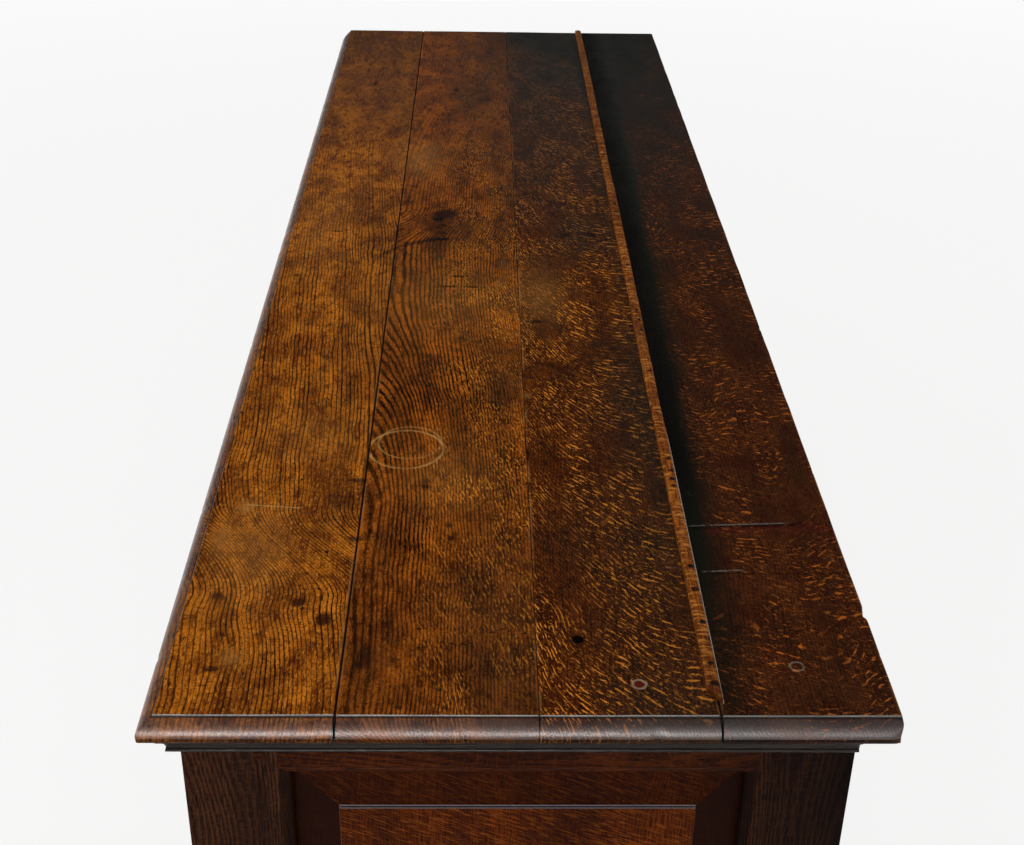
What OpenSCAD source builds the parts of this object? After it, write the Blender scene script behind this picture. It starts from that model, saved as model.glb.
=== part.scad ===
// Enclosed oak dresser base of the eighteenth century: a four-board planked top with a thumb-moulded
// edge, panelled ends, three frieze drawers and two panelled doors either side of a fixed panel.
// Millimetres. X runs along the length, the front faces -Y and Z is up. The origin is on the floor,
// under the middle of the top. Left and right are as seen from the front.

/* [Top] */
// Length of the top over its moulded ends
top_len = 1846; // [1500:2:2200]
// Depth of the top from its moulded front edge to the back edge
top_depth = 544; // [500:2:620]
// Height of the top's surface above the floor
top_height = 838; // [800:1:900]
// Thickness of the four boards
board_t = 20; // [20:0.5:24]
// Width of the front board
first_board = 140; // [110:1:160]
// Width of the second board
second_board = 145; // [120:1:170]
// Width of the third board
third_board = 129.5; // [110:0.5:150]
// Shrinkage gap either side of the second and third boards
open_gap = 1.6; // [0.6:0.2:3]
// Gap at the glued joint between the second and third boards
tight_gap = 0.4; // [0.2:0.1:1]
// How far the thumb moulding runs out from its quirk
edge_run = 11.5; // [9:0.5:16]
// Depth of the quirk below the surface
edge_quirk = 2; // [1:0.5:3]
// Depth of the nosing's middle below the surface
nose_depth = 10.5; // [9:0.5:11.5]

/* [Strip on the top] */
// Width of the nailed strip
strip_w = 14; // [10:0.5:20]
// Height of the nailed strip
strip_h = 5; // [3:0.5:8]
// How far the strip's middle lies in front of the joint that it covers
strip_shift = 1.5; // [0:0.5:3]
// Distance from the right-hand end of the top to the strip's tip
strip_stop = 24; // [18:1:60]
// Length of the strip's diagonal end cut
strip_cut = 14; // [8:1:20]
// Number of nails in the strip
nail_count = 13; // [6:1:20]
// Distance from each end of the strip to its first nail
nail_margin = 40; // [20:5:80]
// How far the nails stand in front of the joint
nail_shift = 4.2; // [3.5:0.1:5]
// Radius of a nail head
nail_head_r = 2.2; // [1.5:0.1:3]
// Radius of a nail's shank
nail_shank_r = 1; // [0.8:0.1:1.3]
// Height of a nail head
nail_head_h = 0.8; // [0.6:0.1:1.2]
// How far a nail head is punched below the strip's surface
nail_sunk = 0.4; // [0.2:0.1:0.8]
// Depth of a nail in the board
nail_grip = 12; // [8:1:16]

/* [Moulding under the top] */
// Height of the moulding
cornice_h = 22; // [20:1:30]
// How far its top stands out from the carcase
cornice_run = 15; // [14:0.5:20]
// Height of its top fillet
cornice_fillet = 8; // [5:0.5:10]
// How far its bottom lip stands out
lip_run = 9; // [7:0.5:11]
// Height of the bottom lip
lip_h = 3; // [2:0.5:5]

/* [Carcase] */
// Overhang of the top at each end
overhang_end = 28; // [24:1:40]
// Overhang of the top at the front and at the back
overhang_front = 24.5; // [24:0.5:36]
// Width of the corner posts seen from the end
post_w = 70; // [60:1:85]
// Width of the front posts seen from the front
post_face = 60; // [54:1:80]
// Width of the back posts seen from the back
back_post_face = 45; // [42:1:54]
// Thickness of the rails, muntins and door frames
frame_t = 25; // [24:0.5:28]
// Height of the feet below the rails
foot_h = 105; // [60:1:140]
// Height of the rail over each end panel
end_top_rail = 44.5; // [42:0.5:80]
// Height of the rail under each end panel
end_bottom_rail = 70; // [62:1:90]
// Length of the tenons
tenon_len = 30; // [22:1:34]
// Thickness of the tenons
tenon_t = 8; // [7:0.5:9]
// Width of the shoulder above and below a tenon
shoulder = 6; // [4:0.5:8]
// Length of the stub tenons on the uprights
stub_len = 12; // [8:1:16]
// Width of the shoulders beside a stub tenon
stub_shoulder = 8; // [6:1:12]
// Radius of the oak pegs
peg_r = 4; // [3:0.5:4.5]
// How far a peg stands proud
peg_proud = 0.6; // [0.2:0.1:1.5]
// Wood left behind a peg
peg_stop = 3; // [2:0.5:5]

/* [Front] */
// Height of the rail over the drawers
front_top_rail = 44; // [42:1:60]
// Height of the drawer openings
drawer_open_h = 160; // [140:1:180]
// Height of the rail between drawers and doors
middle_rail = 45; // [40:1:60]
// Height of the rail under the doors
front_bottom_rail = 55; // [50:1:80]
// Width of the muntins and of the stiles beside the middle panel
muntin_w = 55; // [48:1:70]

/* [Panels and their moulding] */
// Width of the ovolo worked on the frames' edges
ovolo_w = 9; // [8.5:0.5:10]
// Radius of the ovolo
ovolo_r = 8; // [6:0.5:8]
// Depth of the ovolo's quirk
ovolo_quirk = 1; // [0.5:0.1:1.5]
// Depth of the panel groove from the sight edge
groove_d = 8; // [7:0.5:8]
// How far a panel's tongue goes into its groove
tongue_in = 6; // [4:0.5:6.5]
// Width of the sloping border in sight
bevel_w = 34; // [28:1:44]
// How far the raised field lies behind the frame's face
field_recess = 3; // [2:0.5:4]
// Height of the step round the field
field_step = 3; // [2:0.5:3.5]
// Depth of the sloping border at the sight edge
bevel_low = 11; // [10.5:0.1:11.5]
// Depth of a panel's back face
panel_back = 18; // [17:0.5:19]

/* [Drawers] */
// Gap beside and over a drawer front, and round a door
reveal = 1.5; // [1:0.1:2.5]
// Gap under a drawer
slide_gap = 0.3; // [0.2:0.1:0.8]
// Thickness of a drawer front
drawer_front_t = 20; // [18:0.5:22]
// Thickness of the cockbead
bead_t = 3; // [2.5:0.5:4]
// How far the cockbead stands proud
bead_proud = 2.5; // [2:0.5:3]
// How far back the cockbead is let in
bead_back = 5; // [4:0.5:5.5]
// How much lower the drawer sides are than the front
side_drop = 6; // [4:0.5:10]
// Thickness of the drawer sides and back
lining_t = 10; // [9:0.5:12]
// Clearance between a drawer and the back rail
drawer_back_gap = 32.8; // [10:0.2:60]
// Thickness of the drawer bottoms
drawer_bottom_t = 6; // [5:0.5:7]
// Height of the drawer bottom above the sides' lower edge
bottom_rise = 9; // [8:0.5:12]
// Depth of the grooves for the drawer bottom
bottom_groove = 4; // [3:0.5:5]
// Number of dovetails at each corner
dovetails = 3; // [2:1:4]
// Lap left in front of the dovetails
dovetail_lap = 6; // [6:0.5:8]
// Slope of a dovetail's side, as run per unit of length
dovetail_slope = 0.18; // [0.12:0.01:0.24]

/* [Handles] */
// Distance between the two posts of a handle
handle_span = 80; // [74:1:90]
// How far a handle's middle lies below the drawer's
handle_low = 3; // [0:1:10]
// Distance between the two handles of a drawer
handle_spread = 280; // [220:5:320]
// How far the bail's axis stands off the drawer front
handle_stand = 16; // [14:0.5:17]
// Drop of the bail below its axis
bail_drop = 34; // [30:1:36]
// Radius of the bail's rod
bail_r = 2.5; // [2.2:0.1:3]
// How much fuller the bail's grip is in its middle
grip_swell = 1; // [0.5:0.1:1.5]
// Angle that each bend of the bail turns through
bail_turn = 110; // [100:1:120]
// Radius of the bead where the bail's bends meet
bail_bead_r = 2.65; // [2.6:0.05:3.4]
// Width of the knop in the middle of the grip
knop_w = 3; // [2:0.5:5]
// How far the knop stands out of the grip
knop_proud = 0.8; // [0.5:0.1:1.5]
// Radius of the bail's pivot pins
bail_pin_r = 2; // [1.5:0.1:2]
// Radius of the round plates
rosette_r = 13; // [10:0.5:16]
// Radius of the ball head on a handle post
post_head_r = 5.2; // [4.8:0.1:6]
// Radius of a handle post's shank
post_shank_r = 3; // [2.5:0.1:3.5]
// Thickness of the square nuts
nut_t = 3; // [2:0.5:4]
// Width of the square nuts
nut_w = 11; // [9:0.5:14]
// How far a post's shank stands out of its nut
shank_out = 2; // [1:0.5:4]

/* [Doors] */
// Width of the flat of a door's stiles and rails
door_member = 51; // [46:1:64]
// Radius of a hinge knuckle
knuckle_r = 4; // [3.5:0.1:5]
// Radius of a hinge pin
pin_r = 2; // [1.5:0.1:2.2]
// Height of the upright bars of a hinge
hinge_h = 90; // [70:1:110]
// Width of the upright bars of a hinge
hinge_bar = 13; // [10:0.5:16]
// Thickness of the hinge leaves
leaf_t = 1.5; // [1:0.1:2]
// Height of the three knuckles together
knuckle_h = 36; // [24:1:45]
// Distance from a door's top or bottom edge to the middle of its hinge
hinge_inset = 75; // [65:1:100]
// Gap between a knuckle and its upright bar
hinge_gap = 2; // [1:0.5:4]
// Radius of the hinge nails' heads
hinge_nail_r = 2.4; // [2:0.1:3]
// Height of the hinge nails' heads
hinge_nail_h = 0.7; // [0.4:0.1:1.2]
// Radius of the turned door knob
knob_r = 12; // [10:0.5:14]
// How far the knob stands out from the door
knob_out = 22; // [20:0.5:23]
// Radius of the latch shank
latch_r = 4; // [3:0.1:5]
// Reach of the latch tongue from its shank's axis
latch_len = 36; // [32:0.5:42]
// Width of the latch tongue
latch_w = 12; // [10:0.5:16]
// Thickness of the latch tongue
latch_t = 4; // [3:0.5:6]
// Distance from a door's free edge to its knob
latch_inset = 20; // [18:1:26]

/* [Inside] */
// Thickness of the back boards
back_board_t = 10; // [8:0.5:12]
// How far the back boards lap over each back post
back_lap = 25; // [15:1:30]
// Number of back boards
back_boards = 8; // [5:1:12]
// Height of the rails behind the back boards
back_rail_h = 60; // [50:1:80]
// Thickness of the rails behind the back boards
back_rail_t = 22; // [18:1:26]
// Length of the tenons on these rails
back_tenon_len = 18; // [12:1:24]
// Width of the shoulders above and below them
back_shoulder = 8; // [6:1:12]
// Thickness of the cupboard floor
floor_t = 15; // [12:0.5:18]
// Number of floor boards
floor_boards = 3; // [2:1:4]
// Thickness of the drawer runners
runner_t = 18; // [14:1:24]
// How far a runner reaches under a drawer
runner_reach = 16; // [12:1:20]
// Height of the guides between the drawers
guide_h = 14; // [10:1:20]
// Side of the square bearers under the floor
bearer = 20; // [16:1:24]
// Length of the stop blocks behind the drawer fronts and the doors
stop_len = 50; // [30:5:80]
// Thickness of the door stops
door_stop_t = 12; // [8:1:16]
// How far the door stops hang into the opening
door_stop_drop = 8; // [5:1:12]

/* [Hidden] */
$fn = 48;
// Overshoot of a cutting shape
eps = 1;
// Overlap that makes one solid of two shapes
lap = 0.02;
// Gap in a glued or mitred joint between two solids
glue = 0.05;
// Clearance between wooden faces that fit together
fit = 0.2;
// Clearance round a panel's tongue in its groove
groove_fit = 0.3;
// Radial clearance of a pin in its bore
pin_fit = 0.05;
// Gap between pieces that move past each other
run_fit = 0.3;

oak_gold = [0.50, 0.29, 0.12];
oak_brown = [0.36, 0.20, 0.10];
oak_dark = [0.19, 0.11, 0.07];
oak_frame = [0.27, 0.14, 0.08];
oak_lining = [0.62, 0.47, 0.30];
brass = [0.72, 0.56, 0.26];
iron = [0.22, 0.20, 0.19];

// The carcase lies between face_y at the front and -face_y at the back, and reaches end_x at each end
body_len = top_len - 2 * overhang_end;
body_depth = top_depth - 2 * overhang_front;
face_y = -body_depth / 2;
end_x = body_len / 2;
body_top = top_height - board_t;
back_in = body_depth / 2 - back_board_t;

// Joints between the boards of the top
joint_a = -top_depth / 2 + first_board;
joint_b = joint_a + second_board;
joint_c = joint_b + third_board;

// The rails that the back boards are nailed to, and the drawers in front of them
back_rail_x = end_x - back_post_face;
back_rail_y = back_in - fit - back_rail_t;
drawer_depth = back_rail_y - drawer_back_gap - face_y;

// Levels and widths of the openings
inner_x = end_x - post_face;
bay_w = (2 * inner_x - 2 * muntin_w) / 3;
bay_pitch = bay_w + muntin_w;
door_low = foot_h + front_bottom_rail;
drawer_high = body_top - front_top_rail;
drawer_low = drawer_high - drawer_open_h;
door_high = drawer_low - middle_rail;
bay_h = door_high - door_low;
end_low = foot_h + end_bottom_rail;
end_high = body_top - end_top_rail;
end_open_w = body_depth - 2 * post_w;
end_open_h = end_high - end_low;

// Frame joints as [bottom of the rail, height of the rail, heights of its pegs above its bottom]
end_joints = [
    [foot_h, end_bottom_rail, [end_bottom_rail * 0.32, end_bottom_rail * 0.68]],
    [end_high, end_top_rail, [(end_top_rail - cornice_h) / 2]]
];
front_joints = [
    [foot_h, front_bottom_rail, [front_bottom_rail / 2]],
    [door_high, middle_rail, [middle_rail / 2]],
    [drawer_high, front_top_rail, [(front_top_rail - cornice_h) / 2]]
];

// The top

// Section across a moulded edge. It runs out along X from the quirk, and the surface is at Y = 0.
// The nosing is a circle through the foot of the quirk that stands upright at its outermost point.
module nosing_section() {
    nose_r = (pow(edge_run, 2) + pow(nose_depth - edge_quirk, 2)) / (2 * edge_run);
    intersection() {
        translate([edge_run - nose_r, -nose_depth])
            circle(r = nose_r);
        translate([-lap, -board_t])
            square([edge_run + eps, board_t]);
    }
    translate([-edge_run, -board_t])
        square([edge_run, board_t]);
}

// A strip of the top between two lines across its depth, moulded at both ends
module top_piece(from_y, to_y) {
    flat = top_len / 2 - edge_run;
    translate([0, to_y, top_height])
        rotate([90, 0, 0])
            linear_extrude(to_y - from_y)
                union() {
                    for (side = [0, 1])
                        mirror([side, 0])
                            translate([flat, 0])
                                nosing_section();
                    translate([-flat, -board_t])
                        square([2 * flat, board_t]);
                }
}

module top_front_board() {
    color(oak_gold)
        intersection() {
            top_piece(-top_depth / 2 - eps, joint_a - open_gap / 2);
            translate([-top_len / 2, -top_depth / 2 + edge_run, top_height])
                rotate([90, 0, 90])
                    linear_extrude(top_len)
                        union() {
                            mirror([1, 0])
                                nosing_section();
                            translate([0, -board_t])
                                square([first_board, board_t]);
                        }
        }
}

module top_second_board() {
    color(oak_gold)
        top_piece(joint_a + open_gap / 2, joint_b - tight_gap / 2);
}

// The third board takes the strip's nails
module top_third_board() {
    color(oak_brown)
        difference() {
            top_piece(joint_b + tight_gap / 2, joint_c - open_gap / 2);
            at_nails()
                translate([0, 0, -nail_grip - fit])
                    cylinder(r = nail_shank_r + pin_fit, h = nail_grip + 2 * fit);
        }
}

module top_back_board() {
    color(oak_dark)
        top_piece(joint_c + open_gap / 2, top_depth / 2);
}

// The strip covers the joint between the third and the back board, and its nails miss that joint
strip_y = joint_c - strip_shift;
strip_from = -top_len / 2 + edge_run;
strip_to = top_len / 2 - strip_stop;
nail_from = strip_from + nail_margin;
nail_pitch = (strip_to - nail_margin - nail_from) / (nail_count - 1);
nail_head_z = strip_h - nail_head_h - nail_sunk;

module at_nails() {
    for (i = [0 : nail_count - 1])
        translate([nail_from + i * nail_pitch, joint_c - nail_shift, top_height])
            children();
}

// Section of the strip, rounded on both upper arrises
module strip_section() {
    round_r = strip_h / 2;
    translate([-strip_w / 2, 0])
        square([strip_w, strip_h - round_r]);
    translate([-strip_w / 2 + round_r, 0])
        square([strip_w - 2 * round_r, strip_h]);
    for (side = [-1, 1])
        translate([side * (strip_w / 2 - round_r), round_r])
            circle(r = round_r);
}

module plate_strip() {
    tip = [[-strip_cut, 0], [0, -strip_w], [eps, -strip_w], [eps, eps], [-strip_cut, eps]];
    color(oak_brown)
        difference() {
            translate([strip_from, strip_y, top_height])
                rotate([90, 0, 90])
                    linear_extrude(strip_to - strip_from)
                        strip_section();
            translate([strip_to, strip_y + strip_w / 2, top_height - eps])
                linear_extrude(strip_h + 2 * eps)
                    polygon(tip);
            at_nails() {
                translate([0, 0, -eps])
                    cylinder(r = nail_shank_r + pin_fit, h = strip_h + 2 * eps);
                translate([0, 0, nail_head_z])
                    cylinder(r = nail_head_r + pin_fit, h = nail_head_h + eps);
            }
        }
}

module strip_nails() {
    color(iron)
        at_nails() {
            translate([0, 0, -nail_grip])
                cylinder(r = nail_shank_r, h = nail_grip + strip_h - nail_head_h);
            translate([0, 0, nail_head_z])
                cylinder(r = nail_head_r, h = nail_head_h);
        }
}

// The moulding under the top

// Section of the moulding: it stands out along X from the carcase, and its top is at Y = 0
module cornice_section() {
    cove_r = cornice_h - cornice_fillet - lip_h;
    lip_r = lip_h / 2;
    translate([0, -cornice_fillet])
        square([cornice_run, cornice_fillet]);
    difference() {
        translate([0, -cornice_h + lip_h - lap])
            square([cornice_run - 1, cove_r + 2 * lap]);
        translate([lip_run - 1 + cove_r, -cornice_h + lip_h])
            circle(r = cove_r);
    }
    translate([0, -cornice_h])
        square([lip_run - lip_r, lip_h]);
    translate([lip_run - lip_r, -cornice_h + lip_r])
        circle(r = lip_r);
}

// A length of moulding along X that stands out towards -Y, mitred where an end is marked 1
module cornice_piece(length, mitre_start, mitre_end) {
    reach = cornice_run + eps;
    intersection() {
        translate([-reach, 0, 0])
            rotate([90, 0, 90])
                linear_extrude(length + 2 * reach)
                    mirror([1, 0])
                        cornice_section();
        translate([0, 0, -cornice_h - eps])
            linear_extrude(cornice_h + 2 * eps)
                polygon([
                    [mitre_start * glue, 0],
                    [mitre_start * (glue - reach), -reach],
                    [length - mitre_end * (glue - reach), -reach],
                    [length - mitre_end * glue, 0]
                ]);
    }
}

module cornice_front() {
    color(oak_dark)
        translate([-end_x, face_y, body_top])
            cornice_piece(body_len, 1, 1);
}

module cornice_right() {
    color(oak_dark)
        translate([end_x, face_y, body_top])
            rotate([0, 0, 90])
                cornice_piece(body_depth, 1, 0);
}

module cornice_left() {
    mirror([1, 0, 0])
        cornice_right();
}

// Moulded edges, panels and joints. These are drawn for the front: X runs along the frame, Z is up,
// the frame's face is at Y = 0 and Y runs into the wood.

// Section of the ovolo and of the panel groove behind it: X runs to the sight edge, Y into the wood
module ovolo_section() {
    difference() {
        union() {
            intersection() {
                translate([ovolo_w - ovolo_r, ovolo_quirk + ovolo_r])
                    circle(r = ovolo_r);
                square([ovolo_w, ovolo_quirk + ovolo_r]);
            }
            translate([-lap, ovolo_quirk])
                square([ovolo_w - ovolo_r + lap, ovolo_r + lap]);
            translate([-lap, ovolo_quirk + ovolo_r])
                square([ovolo_w + lap, frame_t - ovolo_quirk - ovolo_r]);
        }
        translate([ovolo_w - groove_d, bevel_low - groove_fit])
            square([groove_d + eps, panel_back - bevel_low + 2 * groove_fit]);
    }
}

// The moulded edge of one side of an opening, mitred at both ends. It starts at the origin, runs
// along X for the opening's length, and its sight edge faces +Z.
module ovolo_edge(length) {
    intersection() {
        rotate([90, 0, 90])
            linear_extrude(length)
                rotate(90)
                    mirror([0, 1])
                        ovolo_section();
        translate([0, frame_t + eps, 0])
            rotate([90, 0, 0])
                linear_extrude(frame_t + 2 * eps)
                    polygon([
                        [glue, -2 * lap],
                        [length - glue, -2 * lap],
                        [length - glue, 0],
                        [length - glue - ovolo_w, ovolo_w],
                        [glue + ovolo_w, ovolo_w],
                        [glue, 0]
                    ]);
    }
}

// The moulded edge on one side of an opening: 0 bottom, 1 right, 2 top, 3 left
module opening_edge(width, height, side) {
    place = [[0, 0, 0], [width, 0, 0], [width, 0, height], [0, 0, height]][side];
    translate(place)
        rotate([0, -90 * side, 0])
            ovolo_edge(side % 2 == 0 ? width : height);
}

// Section of a raised and fielded panel across an opening of this width: Y runs into the wood
module panel_section(opening) {
    sight = opening / 2 - ovolo_w;
    tip = sight + tongue_in;
    field = sight - bevel_w;
    border_top = field_recess + field_step;
    border_tip = bevel_low + (bevel_low - border_top) / bevel_w * tongue_in;
    polygon([
        [-tip, border_tip], [-field, border_top], [-field, field_recess],
        [field, field_recess], [field, border_top], [tip, border_tip],
        [tip, panel_back], [-tip, panel_back]
    ]);
}

// A panel for an opening. Its two sections cross, which mitres the sloping borders.
module raised_panel(width, height) {
    translate([width / 2, 0, height / 2])
        intersection() {
            translate([0, 0, -height / 2])
                linear_extrude(height)
                    panel_section(width);
            translate([width / 2, 0, 0])
                rotate([0, -90, 0])
                    linear_extrude(width)
                        panel_section(height);
        }
}

// A tenon that stands out along X from the origin, on a rail of this height
module tenon(height, length = tenon_len, play = 0) {
    translate([-lap - play, (frame_t - tenon_t) / 2 - play, shoulder - play])
        cube([length + lap + 2 * play, tenon_t + 2 * play, height - 2 * shoulder + 2 * play]);
}

// Pegs through the tenons of these joints, where the shoulders are at X = 0 and Z is the floor's
module pegs(joints, play = 0, proud = 0) {
    peg_x = tenon_len * 0.45;
    for (joint = joints, z = joint[2])
        translate([peg_x, -proud, joint[0] + z])
            rotate([-90, 0, 0])
                cylinder(r = peg_r + play, h = frame_t - peg_stop + proud + play);
}

// Mortises and peg holes of these joints
module mortises(joints) {
    for (joint = joints)
        translate([0, 0, joint[0]])
            tenon(joint[1], play = fit);
    pegs(joints, play = pin_fit);
}

// Puts a piece drawn for the front on the right-hand end, where X runs towards the back
module on_right_end() {
    translate([end_x, 0, 0])
        rotate([0, 0, 90])
            children();
}

// Puts a joint drawn with its shoulder at X = 0 at the front end of the right-hand end frame
module at_end_shoulder() {
    on_right_end()
        translate([-end_open_w / 2, 0, 0])
            mirror([1, 0, 0])
                children();
}

// Puts a joint drawn with its shoulder at X = 0 at the right-hand end of the front frame
module at_front_shoulder() {
    translate([inner_x, face_y, 0])
        children();
}

// Posts

module front_post_right() {
    color(oak_frame)
        difference() {
            union() {
                translate([inner_x, face_y, 0])
                    cube([post_face, post_w, body_top]);
                on_right_end()
                    translate([-end_open_w / 2, 0, end_low])
                        opening_edge(end_open_w, end_open_h, 3);
            }
            at_end_shoulder()
                mortises(end_joints);
            at_front_shoulder()
                mortises(front_joints);
        }
}

module front_post_left() {
    mirror([1, 0, 0])
        front_post_right();
}

module back_post_right() {
    color(oak_frame)
        difference() {
            union() {
                translate([end_x - back_post_face, body_depth / 2 - post_w, 0])
                    cube([back_post_face, post_w, body_top]);
                on_right_end()
                    translate([-end_open_w / 2, 0, end_low])
                        opening_edge(end_open_w, end_open_h, 1);
            }
            mirror([0, 1, 0])
                at_end_shoulder()
                    mortises(end_joints);
            translate([end_x - back_post_face - eps, back_in - fit, foot_h - fit])
                cube([back_lap + eps, back_board_t + fit + eps, body_top]);
            for (z = back_rail_levels)
                back_rail_tenon(z, fit);
        }
}

module back_post_left() {
    mirror([1, 0, 0])
        back_post_right();
}

// End frames

// An end rail, with its tenons, peg holes and moulded edge. The joint is one of end_joints.
module end_rail(joint, side) {
    difference() {
        union() {
            on_right_end()
                translate([-end_open_w / 2, 0, joint[0]])
                    cube([end_open_w, frame_t, joint[1]]);
            on_right_end()
                translate([-end_open_w / 2, 0, end_low])
                    opening_edge(end_open_w, end_open_h, side);
            for (back = [0, 1])
                mirror([0, back, 0])
                    at_end_shoulder()
                        translate([0, 0, joint[0]])
                            tenon(joint[1]);
        }
        for (back = [0, 1])
            mirror([0, back, 0])
                at_end_shoulder()
                    pegs([joint], play = pin_fit);
    }
}

module end_bottom_rail_right() {
    color(oak_frame)
        end_rail(end_joints[0], 0);
}

module end_bottom_rail_left() {
    mirror([1, 0, 0])
        end_bottom_rail_right();
}

module end_top_rail_right() {
    color(oak_frame)
        end_rail(end_joints[1], 2);
}

module end_top_rail_left() {
    mirror([1, 0, 0])
        end_top_rail_right();
}

module end_panel_right() {
    color(oak_frame)
        on_right_end()
            translate([-end_open_w / 2, 0, end_low])
                raised_panel(end_open_w, end_open_h);
}

module end_panel_left() {
    mirror([1, 0, 0])
        end_panel_right();
}

// Front frame

// A rail between the front posts, with its tenons and peg holes. The joint is one of front_joints.
module front_rail(joint) {
    difference() {
        union() {
            translate([-inner_x, face_y, joint[0]])
                cube([2 * inner_x, frame_t, joint[1]]);
            for (side = [0, 1])
                mirror([side, 0, 0])
                    at_front_shoulder()
                        translate([0, 0, joint[0]])
                            tenon(joint[1]);
        }
        for (side = [0, 1])
            mirror([side, 0, 0])
                at_front_shoulder()
                    pegs([joint], play = pin_fit);
    }
}

// A stub tenon of an upright, standing up from the origin
module stub_tenon(play = 0) {
    width = muntin_w - 2 * stub_shoulder;
    translate([stub_shoulder - play, (frame_t - tenon_t) / 2 - play, -lap - play])
        cube([width + 2 * play, tenon_t + 2 * play, stub_len + lap + 2 * play]);
}

// The sockets of both uprights at this level. They go up, or down where down is 1.
module upright_sockets(z, down = 0) {
    for (side = [-1, 1])
        translate([side * bay_pitch / 2 - muntin_w / 2, face_y, z])
            mirror([0, 0, down])
                stub_tenon(fit);
}

// The moulded edge round the fixed panel in the middle bay
module middle_bay_edge(side) {
    translate([-bay_w / 2, face_y, door_low])
        opening_edge(bay_w, bay_h, side);
}

module front_top_rail() {
    color(oak_frame)
        difference() {
            front_rail(front_joints[2]);
            upright_sockets(drawer_high);
        }
}

module front_middle_rail() {
    color(oak_frame)
        difference() {
            union() {
                front_rail(front_joints[1]);
                middle_bay_edge(2);
            }
            upright_sockets(door_high);
            upright_sockets(drawer_low, down = 1);
        }
}

module front_bottom_rail() {
    color(oak_frame)
        difference() {
            union() {
                front_rail(front_joints[0]);
                middle_bay_edge(0);
            }
            upright_sockets(door_low, down = 1);
        }
}

// The right-hand upright between two rails, with a stub tenon at each end
module upright(low, high) {
    translate([bay_w / 2, face_y, low]) {
        cube([muntin_w, frame_t, high - low]);
        translate([0, 0, high - low])
            stub_tenon();
        mirror([0, 0, 1])
            stub_tenon();
    }
}

module drawer_muntin_right() {
    color(oak_frame)
        upright(drawer_low, drawer_high);
}

module drawer_muntin_left() {
    mirror([1, 0, 0])
        drawer_muntin_right();
}

module bay_stile_right() {
    color(oak_frame) {
        upright(door_low, door_high);
        middle_bay_edge(1);
    }
}

module bay_stile_left() {
    mirror([1, 0, 0])
        bay_stile_right();
}

module centre_panel() {
    color(oak_frame)
        translate([-bay_w / 2, face_y, door_low])
            raised_panel(bay_w, bay_h);
}

module frame_pegs() {
    color(oak_dark)
        for (side = [0, 1])
            mirror([side, 0, 0]) {
                for (back = [0, 1])
                    mirror([0, back, 0])
                        at_end_shoulder()
                            pegs(end_joints, proud = peg_proud);
                at_front_shoulder()
                    pegs(front_joints, proud = peg_proud);
            }
}

// Back and inside

// The back rails stand at the foot, behind the runners and at the top
back_rail_levels = [
    foot_h, drawer_low - (runner_t + back_rail_h) / 2, body_top - back_rail_h
];

module back_rail_tenon(z, play = 0) {
    from_y = back_rail_y + (back_rail_t - tenon_t) / 2;
    height = back_rail_h - 2 * back_shoulder;
    translate([back_rail_x - lap - play, from_y - play, z + back_shoulder - play])
        cube([back_tenon_len + lap + 2 * play, tenon_t + 2 * play, height + 2 * play]);
}

module back_rails() {
    color(oak_lining)
        for (z = back_rail_levels) {
            translate([-back_rail_x, back_rail_y, z])
                cube([2 * back_rail_x, back_rail_t, back_rail_h]);
            for (side = [0, 1])
                mirror([side, 0, 0])
                    back_rail_tenon(z);
        }
}

module back_boarding() {
    span = 2 * (back_rail_x + back_lap - fit);
    pitch = span / back_boards;
    color(oak_lining)
        for (i = [0 : back_boards - 1])
            translate([-span / 2 + i * pitch + fit / 2, back_in, foot_h])
                cube([pitch - fit, back_board_t, body_top - foot_h]);
}

// Space between the front frame and the back rails
inside_from = face_y + frame_t;
inside_len = back_rail_y - inside_from;

// The outline of everything between the posts and the end frames, seen from above
module inside_outline() {
    translate([-inner_x + fit, inside_from + glue])
        square([2 * (inner_x - fit), inside_len - 2 * glue]);
    translate([-back_rail_x + fit, 0])
        square([2 * (back_rail_x - fit), back_rail_y - glue]);
    translate([-end_x + frame_t + fit, -end_open_w / 2 + fit])
        square([2 * (end_x - frame_t - fit), end_open_w - 2 * fit]);
}

module cupboard_floor() {
    pitch = inside_len / floor_boards;
    color(oak_lining)
        for (i = [0 : floor_boards - 1])
            translate([0, 0, door_low - floor_t])
                linear_extrude(floor_t)
                    intersection() {
                        inside_outline();
                        translate([-end_x, inside_from + i * pitch + fit / 2])
                            square([body_len, pitch - fit]);
                    }
}

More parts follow.
